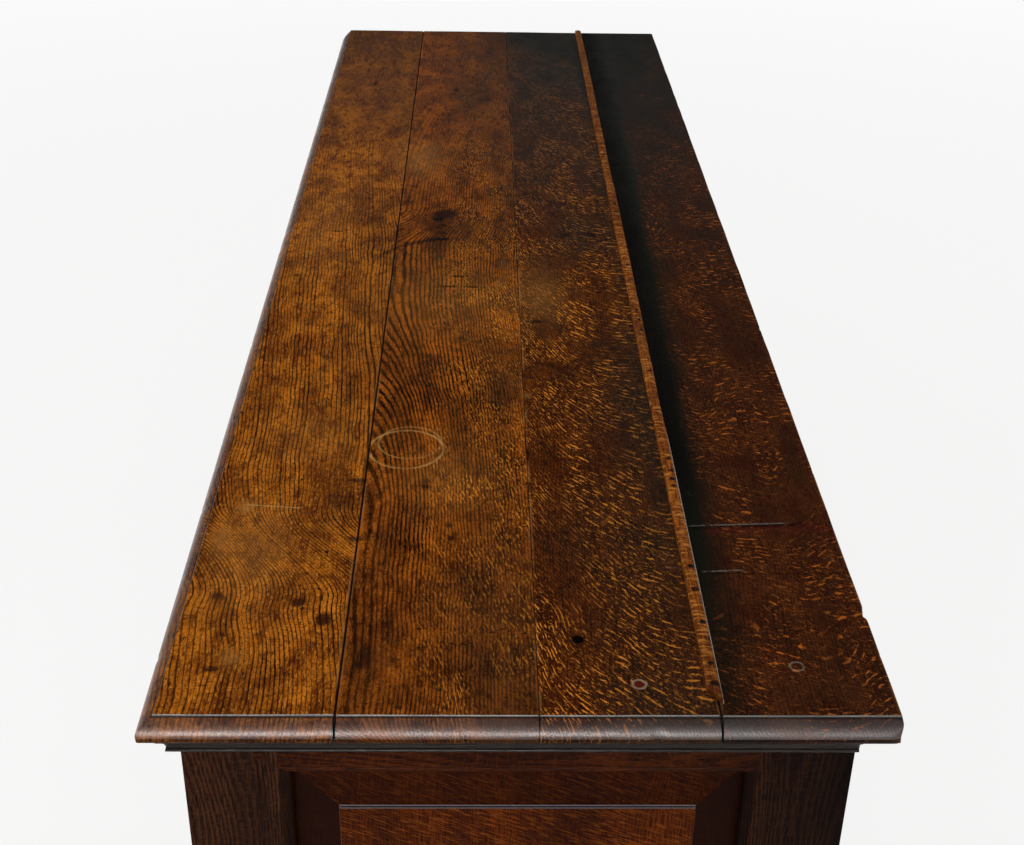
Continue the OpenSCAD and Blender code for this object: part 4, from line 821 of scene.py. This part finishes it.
def top_oak(name, node, sheen, contrast=1.0, wax_and_sheen_film=0.0):
    """Waxed old oak: bands of the years, pores, flecks, golden and reddish patches, patina, dirt and
    the marks of use, and painted shade, highlight and sheen among them. The contrast scales how far
    the figure shows, and the film is the dark wax over it, partly a painted grey sheen. The sheen is
    (specular level, (least, most roughness))."""
    wood = woods[node]
    material, tree, place = new_material(name)
    ring, dark, clear = attribute(tree, "figure")
    sheet, shown, arris = attribute(tree, "rays")
    pale, ink_dirt_and_shadow, red = attribute(tree, "marks")
    worn, grime_and_shade, wax_and_sheen = attribute(tree, "use")

    band = year_bands(tree, place, wood, ring, clear)
    flecks = ray_flecks(tree, place, wood, sheet, shown)
    pores = streaks(tree, place, (0.007, 0.0009, 0.0012), 0.58, 0.68)
    golden = streaks(tree, place, (0.060, 0.034, 0.04), 0.38, 0.64, detail=6.0)
    darkening = streaks(tree, place, (0.015, 0.008, 0.012), 0.48, 0.68, detail=5.0)
    ruddy = streaks(tree, place, (0.05, 0.030, 0.05), 0.50, 0.70, turn=25, detail=4.0)
    fine = streaks(tree, place, (0.022, 0.0022, 0.003), 0.32, 0.68, detail=4.0)
    dirt = streaks(tree, place, (0.004, 0.003, 0.004), *wood["dirt"], detail=3.0)
    nicks = streaks(tree, place, (0.0013, 0.006, 0.003), 0.62, 0.72, turn=-20)
    grit = streaks(tree, place, (0.0026, 0.0014, 0.002), 0.40, 0.66, detail=2.0)
    glints = streaks(tree, place, (0.0050, 0.0013, 0.003), 0.55, 0.68, detail=3.0, twist=0.3)
    checks = streaks(tree, place, (0.0013, 0.0060, 0.003), 0.55, 0.66, turn=6, detail=3.0)
    pits = streaks(tree, place, (0.0040, 0.0036, 0.004), 0.675, 0.71, detail=2.0)
    # Grey-blue towards the far end: partly dust, partly a painted grey sheen of the wax.
    dust_and_sheen = add(tree, "MapRange", add(tree, "SeparateXYZ", place), 0.15, -0.6, 0.0, 0.06)
    brown, gold, rust, line, fleck, patina = wood["colours"]
    colour = layered(
        tree,
        brown,
        [
            (golden, 0.85, gold),
            (fine, 0.5, gold),
            (ruddy, 0.55, rust),
            (darkening, 0.75, rust),
            (grit, wood["grit"], rust),
            (glints, contrast * wood["glint"], fleck),
            (checks, 0.55 * contrast, rust),
            (band, contrast * wood["line"], line),
            (pores, 0.5 * contrast, line),
            (flecks, wood["ray"] * (0.3 + 0.7 * contrast), fleck),
            (worn, 0.6, "#a8703c"),
            (red, 0.9, "#260a05"),
            (dark, 1.0, patina),
            (dirt, 0.7, "#150a05"),
            (pits, contrast * contrast * 0.8, "#0c0604"),
            (nicks, 0.6, "#120904"),
            (pale, 0.5, "#bd8440"),
            # Partly dust, partly a painted sheen, towards the far end.
            (dust_and_sheen, 1.0, "#5c5f66"),
            *rings_and_spots(tree, place, discs[node], top_z),
            *scribed_lines(tree, place, scribed.get(node, [])),
            # Ink marks, and behind the strip swept dirt with the strip's painted shadow.
            (ink_dirt_and_shadow, 1.0, "#0b0806"),
            # Dark wax on the nosing, partly a painted grey sheen.
            (wax_and_sheen, wax_and_sheen_film, "#35302f"),
            # Grime, and painted shade under the nosing, underneath and in the joints.
            (grime_and_shade, 1.0, "#080605"),
            # A painted highlight along the arris at the quirk.
            (arris, 0.4, "#a8a194"),
        ],
    )
    height = combine(tree, "MULTIPLY", combine(tree, "ADD", band, pores, nicks), -0.5 * contrast)
    gloss = add(tree, "MapRange", golden, 0.0, 1.0, *sheen[1])
    surface(tree, colour, height, gloss, 0.0002, Specular_IOR_Level=sheen[0])
    return material


print("recipe of the top's oak ready")

# %% Looks of the four boards
# cut: length of a fleck in metres. width: half of it, as a share of the sheets' spacing. broken and
# dirt: noise from none to full. small and lean: size and angle of the small flecks. ray, glint, line
# and grit: strengths. late: where in the year its band fades. solid: how little it is broken up.
# colours: brown, gold, rust, line, fleck and patina. gloss: least and most roughness of the nosing.
woods["top_front_board"].update(
    cut=0.006, width=0.10, broken=(0.44, 0.66), small=(0.006, 0.0012, 0.004), lean=8, ray=0.25, glint=0.45,
    late=(0.31, 0.54), solid=0.8, line=1.0, grit=0.5, dirt=(0.60, 0.67),
    colours=("#5d2704", "#c27016", "#471703", "#0b0301", "#dc9236", "#2e1c0d"), gloss=(0.24, 0.36),
)
woods["top_second_board"].update(
    cut=0.006, width=0.19, broken=(0.47, 0.64), small=(0.008, 0.0012, 0.004), lean=3, ray=0.95, glint=0.3,
    late=(0.45, 0.65), solid=0.85, line=1.0, grit=0.4, dirt=(0.61, 0.69),
    colours=("#4e1f04", "#a8570f", "#331002", "#060200", "#ca7c20", "#22180f"), gloss=(0.26, 0.36),
)
woods["top_third_board"].update(
    cut=0.010, width=0.21, broken=(0.47, 0.66), small=(0.0045, 0.0010, 0.004), lean=40, ray=0.95, glint=0.1,
    late=(0.2, 0.6), solid=0.5, line=0.75, grit=0.6, dirt=(0.60, 0.68),
    colours=("#3e1705", "#592708", "#210902", "#070200", "#cf7d24", "#1a1c16"), gloss=(0.24, 0.36),
)
woods["top_back_board"].update(
    cut=0.009, width=0.17, broken=(0.48, 0.66), small=(0.0045, 0.0010, 0.004), lean=60, ray=0.8, glint=0.0,
    late=(0.2, 0.6), solid=0.5, line=0.6, grit=0.5, dirt=(0.60, 0.68),
    colours=("#2a160a", "#48240d", "#300f06", "#060301", "#b8621e", "#13160f"), gloss=(0.36, 0.50),
)
print("colours of", len(woods), "boards")

# %% Put the oak on the boards
# The field is oak planed by hand, scrubbed and waxed: it has a low, soft gloss. The nosing was worked
# with a moulding plane and rubbed by hands and clothes, so it is glossier under a film of dark wax,
# whose grey towards its top is partly a painted sheen.
field_sheen = (0.03, (0.38, 0.50))
nosing_depth = 12.8
oak_names = {
    "top_front_board": ("gold", "oak_top", 0.6),
    "top_second_board": ("brown", "oak_top", 0.6),
    "top_third_board": ("quartered", "oak_brown", 0.6),
    "top_back_board": ("smoked", "oak_dark", 0.8),
}
for node, (name, slot_name, wax_and_sheen_film) in oak_names.items():
    piece = tops[node]
    field = top_oak("oak_waxed_" + name, node, field_sheen)
    nosing = top_oak("oak_polished_nosing_" + name, node, (0.5, woods[node]["gloss"]), 0.7, wax_and_sheen_film)
    piece.data.materials.append(field)
    piece.data.materials.append(nosing)
    middles = np.zeros(len(piece.data.polygons) * 3)
    piece.data.polygons.foreach_get("center", middles)
    x, y, z = middles.reshape(-1, 3).T * 1000
    outside = (np.abs(x) > field_x - 0.2) | (y < -field_y + 0.2)
    on_nosing = outside & (z > top_z - nosing_depth)
    piece.data.polygons.foreach_set("material_index", on_nosing.astype(int))
    print(node, name, int(on_nosing.sum()), "faces of nosing")

# %% [markdown]
# ## Dirt and painted shade in the joints
# The boards have shrunk apart, and two centuries of wax and dust fill the gaps to just below the
# surface. The gaps could stay open, but then daylight would show through. The dirt is one thin bar in
# each gap, crumbly and dull, so it gives the eye a black line with no shine. It fills the gap to its
# foot, so it is partly dirt and partly painted shade.

# %% Dirt and painted shade in the joints
bars = []
filled_from, filled_to = top_z - 2.6, top_z - board_t + 1
for low, high in [(-132.6, -131.4), (12.9, 13.1), (141.9, 143.1)]:
    ends = np.array([-field_x - 4, field_x + 4])
    round_y = np.array([low, high, high, low, low])
    round_z = np.array([filled_from, filled_from, filled_to, filled_to, filled_from])
    bars.append(grid_of(ends[:, None], round_y, round_z))
joint_dirt = close_up("joint_dirt", bars, [bar[side, :-1] for bar in bars for side in (0, 1)])
# Near black, filling the gap to its foot: partly dirt, partly painted shade.
dirt, tree, place = new_material("dirt_and_shade_in_joints")
crumbs = streaks(tree, place, (0.004, 0.004, 0.004), 0.3, 0.7)
colour = layered(tree, "#0c0907", [(crumbs, 0.5, "#1d140d")])
surface(tree, colour, crumbs, 0.9, 0.0003, Specular_IOR_Level=0.1)
joint_dirt.data.materials.append(dirt)
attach(joint_dirt, "carcase")

# %% [markdown]
# ## The nailed strip
# A thin lath was nailed over the joint before the back board, to stop plates from rolling off or
# dust from falling through. It isn't quite straight: it was bent by hand as the nails went in, and
# its near end was cut off at a slant. A box would look too perfect, so a rounded section is carried
# along a slightly wandering line. The nails were driven where the lath lifted, some have gone and
# left a hole, and iron has stained the oak black round each.

# %% The strip
nail_places = [-880, -738, -596, -425, -262, -73, -45, 122, 245, 270, 295, 390, 563, 598, 733, 808]
nail_holes = [584, 610, 765, 858, 881]
nail_line = 141.4
strip_y, strip_half, strip_sunk = 140.4, 5.4, 0.35
nail_z, strip_face_z = top_z + 3.9, top_z + 4.5
strip_x = np.concatenate([[-911.5], np.linspace(-910.5, 898.0, 420), [899.0]])
half_turn = np.linspace(0, math.pi, 15)
strip_across = np.concatenate([[-strip_half], -strip_half * np.cos(half_turn), [strip_half]])
strip_up = np.concatenate([[0.0], 1.4 + 3.4 * np.sin(half_turn) ** 0.55, [0.0]])
station, side = np.meshgrid(strip_x, strip_across, indexing="ij")
thin = 1 - 0.10 * rise(patches(station, 0 * side, 60, 1, 51), 0.2, 1.0)
lath = grid_of(station, side * thin, top_z - strip_sunk + strip_up * thin)
lath[..., 0] -= rise(station, 870, 899) * (strip_half - side) * 1.1
lath[..., 1] += strip_y + 0.5 * patches(station, 0 * side, 130, 1, 52)
lath[..., 1] = np.clip(lath[..., 1], 133.2, 149.0)
plate_strip = close_up("worn_plate_strip", [lath, lath[:, [-1, 0]]], [lath[0, ::-1], lath[-1]])
plate_strip.data.set_sharp_from_angle(angle=math.radians(50))
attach(plate_strip, "carcase")
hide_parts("plate_strip")
print("strip", len(plate_strip.data.vertices), "vertices")

# %% Heads of the nails
rim = np.linspace(0, 2 * math.pi, 13)
rim[-1] = 0
head_r, head_z = np.array([[2.0, -0.6], [2.2, 0.1], [1.7, 0.5], [0.9, 0.7], [0.0, 0.75]]).T
head_r, head_z = head_r[:, None], head_z[:, None]
heads = []
for number, place in enumerate(nail_places):
    bent = 0.16 * np.sin(rim * 2 + number) + 1
    x = place + head_r * np.cos(rim) * bent
    y = nail_line + head_r * np.sin(rim) * bent
    heads.append(grid_of(x, y, nail_z + head_z))
strip_nails = close_up("hand_driven_nails", heads, [head[0, :-1] for head in heads])
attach(strip_nails, "carcase")
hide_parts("strip_nails")
print(len(heads), "nails and", len(nail_holes), "empty holes")

# %% [markdown]
# ## Oak of the frame, lining and mouldings
# The frame is joined from straight-grained oak, planed, stained and waxed but never scrubbed, so it
# is darker and redder than the top. The panels were cut along the rays, so they are flecked. The
# mouldings are scraped and polished nearly black, the strip is a split lath, and the lining was sawn
# and planed and never finished, so it is dry, dull and brown. A material for each piece could be
# tuned by itself. Here one recipe serves for all, with the grain along the length of each piece: a
# door's rails and a drawer's back turn it by their place.

# %% Oak by the grain


def grain_axes(tree, place, grain, turned):
    """Coordinates along the grain, across it and into the wood. Turned is (axis, (from, to), other
    grain): where the distance from the middle along the axis is in that range, the grain turns."""
    x, y, z = add(tree, "SeparateXYZ", place).outputs
    axes = {"x": (x, y, z), "y": (y, x, z), "z": (z, x, y), "end": (z, y, x)}
    if not turned:
        return axes[grain]
    axis, (low, high), other = turned
    from_middle = add(tree, "Math", axes[axis][0], operation="ABSOLUTE")
    above = add(tree, "Math", from_middle, low, operation="GREATER_THAN")
    below = add(tree, "Math", from_middle, high, operation="LESS_THAN")
    inside = combine(tree, "MULTIPLY", above, below)
    pairs = zip(axes[grain], axes[other])
    return [add(tree, "Mix", inside, one, two).outputs["Result"] for one, two in pairs]


def growth_lines(tree, place, wide, deep):
    """Dark bands 3.2 mm apart, the fraction of (wide + 0.55 deep) / 3.2 mm, which wander along the
    board and are frayed by the vessels."""
    warp = add(tree, "Mapping", place, None, None, (0.45, 0.05, 0.07), vector_type="TEXTURE")
    warp = add(tree, "MapRange", add(tree, "TexNoise", warp, 1.0, 2.0), 0.0, 1.0, -0.035, 0.035)
    ragged = streaks(tree, place, (0.010, 0.0012, 0.0012), 0.0, 1.0)
    crossing = add(tree, "Math", deep, 0.55, wide, operation="MULTIPLY_ADD")
    years = combine(tree, "DIVIDE", combine(tree, "ADD", crossing, warp), 0.0032)
    years = add(tree, "Math", ragged, 0.5, years, operation="MULTIPLY_ADD")
    year = add(tree, "Math", years, operation="FRACT")
    band = add(tree, "MapRange", year, 0.2, 0.75, 1.0, 0.0, interpolation_type="SMOOTHSTEP")
    return combine(tree, "MULTIPLY", band, add(tree, "MapRange", year, 0.0, 0.08, 0.0, 1.0))


print("growth lines ready")

# %% Straight-grained oak


def grained_oak(
    name, grain, colours, line, ray, sheen, turned=None, spots=(), painted_edge_highlight=None, painted_ledge_highlight=None,
    slope=0.0, darkening=0.0, cut=(0.0022, 0.011, 0.006), uneven=0.25, sides=0.0, turn=-14,
    board_width=None,
):
    """Straight-grained oak: growth lines, pores drawn 1 mm wide, flecks of size cut at angle turn,
    light and sooty patches, and for each piece, or each board of this width, its own tone. Line,
    ray, uneven, slope, sides and darkening are strengths: of the lines, the flecks and the tones, of
    grime and painted shade on slopes, of painted shade on mitred sides, and of grime and painted shade
    towards the wall. A painted ledge highlight is the colour of faces that look up, and a painted edge
    highlight the (y, x) where a pale line starts. The sheen is (specular level, roughness)."""
    material, tree, place = new_material(name)
    layers = rings_and_spots(tree, place, spots, strip_face_z)
    x, y = add(tree, "SeparateXYZ", place).outputs[:2]
    normal = add(tree, "SeparateXYZ", add(tree, "NewGeometry").outputs["Normal"]).outputs
    # A thin pale line along one edge, from a given place on: a painted highlight.
    if painted_edge_highlight:
        edge = add(tree, "MapRange", y, painted_edge_highlight[0], painted_edge_highlight[0] + 0.0004, 0.0, 1.0)
        near = add(tree, "MapRange", x, painted_edge_highlight[1], painted_edge_highlight[1] + 0.25, 0.0, 0.8)
        layers.append((combine(tree, "MULTIPLY", edge, near), 1.0, "#a9a7a0"))
    # Faces that look up take a pale colour: a painted highlight.
    if painted_ledge_highlight:
        layers.append((add(tree, "MapRange", normal["Z"], 0.35, 0.8, 0.0, 1.0), 0.8, painted_ledge_highlight))
    long, wide, deep = grain_axes(tree, place, grain, turned)
    luck = add(tree, "ObjectInfo").outputs["Random"]
    if board_width:
        number = add(tree, "Math", combine(tree, "DIVIDE", wide, board_width), operation="FLOOR")
        luck = add(tree, "TexWhiteNoise", number, noise_dimensions="1D").outputs["Value"]
    long = combine(tree, "ADD", long, combine(tree, "MULTIPLY", luck, 7.0))
    place = add(tree, "CombineXYZ", long, wide, deep)
    band = growth_lines(tree, place, wide, deep)
    pores = streaks(tree, place, (0.016, 0.0010, 0.0010), 0.48, 0.62)
    rays = streaks(tree, place, cut, 0.50, 0.66, turn=turn, twist=0.4)
    light = streaks(tree, place, (0.16, 0.03, 0.04), 0.35, 0.68, detail=4.0)
    soot = streaks(tree, place, (0.22, 0.07, 0.09), 0.45, 0.75, detail=4.0)
    # Darker towards the wall at the back: partly grime, partly painted shade.
    grime_and_shade_to_wall = add(tree, "MapRange", y, 0.08, 0.255, 0.0, darkening)
    flat = [add(tree, "Math", normal[axis], operation="ABSOLUTE") for axis in "XY"]
    # Faces that slope off the upright, such as the panels' bevels, are darkened: grime and painted shade.
    grime_and_shade_on_slopes = add(tree, "MapRange", combine(tree, "MAXIMUM", *flat), 0.9985, 0.993, 0.0, 1.0)
    # Faces turned between X and Y, such as mitred sides, are darkened: painted shade.
    painted_side_shade = add(tree, "MapRange", combine(tree, "MINIMUM", *flat), 0.03, 0.08, 0.0, 1.0)
    brown, bright, dark, fleck, black = colours
    colour = layered(
        tree,
        brown,
        [
            (light, 0.8, bright),
            (band, line, dark),
            (pores, 0.8, dark),
            (rays, ray, fleck),
            (soot, 0.6, black),
            (luck, uneven, dark),
            # Grime and painted shade on slopes, painted shade on mitred sides, grime and painted shade
            # towards the wall.
            (grime_and_shade_on_slopes, slope, dark),
            (painted_side_shade, sides, dark),
            (grime_and_shade_to_wall, 1.0, black),
            *layers,
        ],
    )
    height = combine(tree, "MULTIPLY", combine(tree, "ADD", band, pores), -0.5)
    gloss = add(tree, "MapRange", light, 0.0, 1.0, sheen[1] + 0.06, sheen[1] - 0.04)
    surface(tree, colour, height, gloss, 0.00015, Specular_IOR_Level=sheen[0])
    return material


print("recipe of the straight-grained oak ready")

# %% Oaks of the frame, panels, mouldings, strip and lining
# Specular level and roughness: wax dulled by smoke, mouldings rubbed to a shine, and bare dry wood.
# Tones: brown, bright, dark, fleck and black.
waxed, polished, dry = (0.024, 0.34), (0.18, 0.30), (0.15, 0.70)
back_boards = 8
back_board_width = nodes["back_boarding"].dimensions.x / back_boards
frame_tones = ("#3c1605", "#622c0c", "#0e0301", "#7c4116", "#0a0401")
post_tones = ("#402212", "#5b331c", "#110705", "#6e4a30", "#050202")
panel_tones = ("#4e1c08", "#78330a", "#1c0702", "#9d5114", "#0d0401")
worn_tones = ("#5c3016", "#7a431d", "#2c150a", "#8a5226", "#24140b")
black_tones = ("#1b120d", "#2c1d14", "#0c0806", "#3a281a", "#0c0906")
# Worn black of the cornice's arrises, greyed as a painted highlight.
worn_black_and_highlight = ("#3a322a", "#4c443a", "#201a15", "#5a5246", "#1c1713")
dry_tones = ("#6b4f33", "#83643f", "#49331f", "#8d7049", "#3b2b1d")
back_tones = ("#66513a", "#7c664a", "#382a1d", "#826c4e", "#2a2018")
lath_tones = ("#6e3409", "#955014", "#34160a", "#bd7a30", "#3a1a0a")
# Each is named "oak_" and its key: grain, tones, strengths of lines and flecks, and sheen.
recipes = {
    "frame_upright": ("z", post_tones, 0.75, 0.15, waxed),
    "frame_along": ("x", frame_tones, 0.55, 0.15, waxed),
    "frame_end": ("y", frame_tones, 0.6, 0.15, waxed),
    "door_frame": ("z", frame_tones, 0.55, 0.15, waxed),
    "panel_quartered": ("z", panel_tones, 0.35, 0.55, waxed),
    "end_panel_quartered": ("end", panel_tones, 0.5, 0.7, waxed),
    "drawer_front": ("x", panel_tones, 0.5, 0.4, waxed),
    "moulding_along": ("x", black_tones, 0.4, 0.1, polished),
    "moulding_end": ("y", black_tones, 0.4, 0.1, polished),
    "strip": ("x", lath_tones, 0.6, 0.7, (0.06, 0.45)),
    "lining_along": ("x", dry_tones, 0.6, 0.2, dry),
    "lining_across": ("y", dry_tones, 0.6, 0.2, dry),
    "lining_upright": ("z", back_tones, 0.7, 0.2, dry),
    "lining_worn_arris": ("x", dry_tones, 0.3, 0.0, dry),
    "fielding_step": ("z", worn_tones, 0.3, 0.1, waxed),
    **{"worn_arris_" + axis: (axis, worn_tones, 0.3, 0.1, waxed) for axis in "xyz"},
    **{"cornice_arris_" + axis: (axis, worn_black_and_highlight, 0.3, 0.1, polished) for axis in "xy"},
}
nails_and_holes = nail_places + nail_holes
stains = [(x, nail_line, 0, 2.0 + 1.2 * math.sin(x) ** 2, 0.9, "#0d0805") for x in nails_and_holes]
flat_cut, end_cut = (0.0016, 0.013, 0.006), (0.0009, 0.013, 0.006)
# The darkening towards the wall is grime and painted shade, slope and sides paint shade, and the ledge and
# pale edge are painted highlights.
extras = {
    "frame_upright": {"darkening": 0.9, "sides": 0.75},
    "frame_end": {"darkening": 0.7},
    "door_frame": {"turned": ("x", (0.3765, 0.7735), "x")},
    "panel_quartered": {"slope": 0.6, "sides": 0.3, "cut": flat_cut},
    "end_panel_quartered": {"slope": 0.6, "sides": 0.8, "cut": end_cut, "turn": 22, "darkening": 0.6},
    # Along the strip's back arris a painted highlight.
    "strip": {"spots": stains, "painted_edge_highlight": (0.1449, 0.36)},
    "lining_across": {"turned": ("y", (0.165, 0.190), "x")},
    "lining_upright": {"uneven": 0.8, "board_width": back_board_width},
    # The fielding step and the cornice's arrises: a painted highlight where they look up.
    "fielding_step": {"painted_ledge_highlight": "#9a9ba6"},
    "cornice_arris_x": {"painted_ledge_highlight": "#77735f"},
    "cornice_arris_y": {"painted_ledge_highlight": "#77735f"},
}
oaks = {}
for name, recipe in recipes.items():
    oaks[name] = grained_oak("oak_" + name, *recipe, **extras.get(name, {}))
plate_strip.data.materials.append(oaks["strip"])
print("oak materials", len(oaks))

# %% [markdown]
# ## Brass and iron
# The handles and knobs are brass, cast in sand and filed, and now bright in places and tarnished
# brown between them. Hinges and nails are iron, hammered hot, with a dark uneven skin. A picture of
# old metal would carry its own reflections. Metal shows mostly what it mirrors, so the recipe is
# short: tarnish changes the colour and dulls the mirror, and small pits break it up.

# %% Metals


def old_metal(name, bright, tarnished, patch_size, dull, relief):
    """Metal with patches of tarnish that dull it, and a cast or hammered surface of this relief."""
    material, tree, place = new_material(name)
    tarnish = streaks(tree, place, (patch_size,) * 3, 0.36, 0.62, detail=4.0)
    pits = streaks(tree, place, (0.0022,) * 3, 0.2, 0.8, detail=3.0)
    colour = layered(tree, bright, [(tarnish, 0.85, tarnished), (pits, 0.25, tarnished)])
    roughness = add(tree, "MapRange", tarnish, 0.0, 1.0, *dull)
    surface(tree, colour, pits, roughness, relief, Metallic=1.0)
    return material


brass = old_metal("brass_old_cast", "#c39a4e", "#6a4a22", 0.02, (0.22, 0.42), 0.00008)
iron = old_metal("iron_forged_dark", "#4a4541", "#241d19", 0.012, (0.42, 0.62), 0.00025)
print("metals", brass.name, iron.name)

# %% [markdown]
# ## Materials and worn arrises for the CAD pieces
# The CAD pieces have knife-sharp edges, and nothing that is 250 years old has. The edges could be
# rounded in the CAD model, at the price of many more faces. Here one modifier welds their triangles
# and the next rounds the edges by 0.7 mm, or 1.8 mm on the rough back boards. The new faces take a
# lighter, worn oak, and on the cornice and the fielding step a painted highlight besides.

# %% Dress the CAD pieces


def at(places, *names):
    """These names, with each of the places put where their brackets are."""
    return [name.format(place) for name in names for place in places]


both, three = ("left", "right"), ("left", "middle", "right")
# Two oaks, of the faces and of the worn arrises, and the pieces that have them.
dressing = {
    ("frame_upright", "worn_arris_z"): at(
        both, "front_post_{}", "back_post_{}", "bay_stile_{}", "drawer_muntin_{}"
    ),
    ("frame_along", "worn_arris_x"): at(("top", "middle", "bottom"), "front_{}_rail"),
    ("frame_end", "worn_arris_y"): ["frame_pegs", *at(both, "end_top_rail_{}", "end_bottom_rail_{}")],
    ("door_frame", "worn_arris_z"): at(both, "{}_door_frame"),
    ("panel_quartered", "fielding_step"): ["centre_panel", *at(both, "{}_door_panel")],
    ("end_panel_quartered", "fielding_step"): at(both, "end_panel_{}"),
    ("drawer_front", "worn_arris_x"): at(three, "{}_drawer_front"),
    ("moulding_along", "cornice_arris_x"): ["cornice_front"],
    ("moulding_end", "cornice_arris_y"): at(both, "cornice_{}"),
    ("lining_along", "lining_worn_arris"): [
        "back_rails", "cupboard_floor", "stop_blocks", *at(three, "{}_drawer_bottom")
    ],
    ("lining_across", "lining_worn_arris"): ["drawer_runners", *at(three, "{}_drawer_box")],
    ("lining_upright", "lining_worn_arris"): ["back_boarding"],
}
weld_reach, arris_width, back_arris_width = 0.00002, 0.0007, 0.0018
for pair, names in dressing.items():
    for name in names:
        piece = nodes[name]
        piece.data.materials.clear()
        for oak in pair:
            piece.data.materials.append(oaks[oak])
        weld = piece.modifiers.new("weld", "WELD")
        weld.merge_threshold = weld_reach
        round_off = piece.modifiers.new("arris", "BEVEL")
        round_off.width = back_arris_width if name == "back_boarding" else arris_width
        round_off.segments = 2
        round_off.limit_method = "ANGLE"
        round_off.angle_limit = math.radians(40)
        round_off.material = 1
print("dressed", sum(len(names) for names in dressing.values()), "wooden pieces")

# %% Put the metals on
metals = {"latch": brass, "bail": brass, "fittings": brass, "leaves": iron, "nails": iron}
for name, piece in [*nodes.items(), ("strip_nails", strip_nails)]:
    for part, metal in metals.items():
        if part in name:
            piece.data.materials.clear()
            piece.data.materials.append(metal)
print("metal on pieces with these words in their names:", *metals)
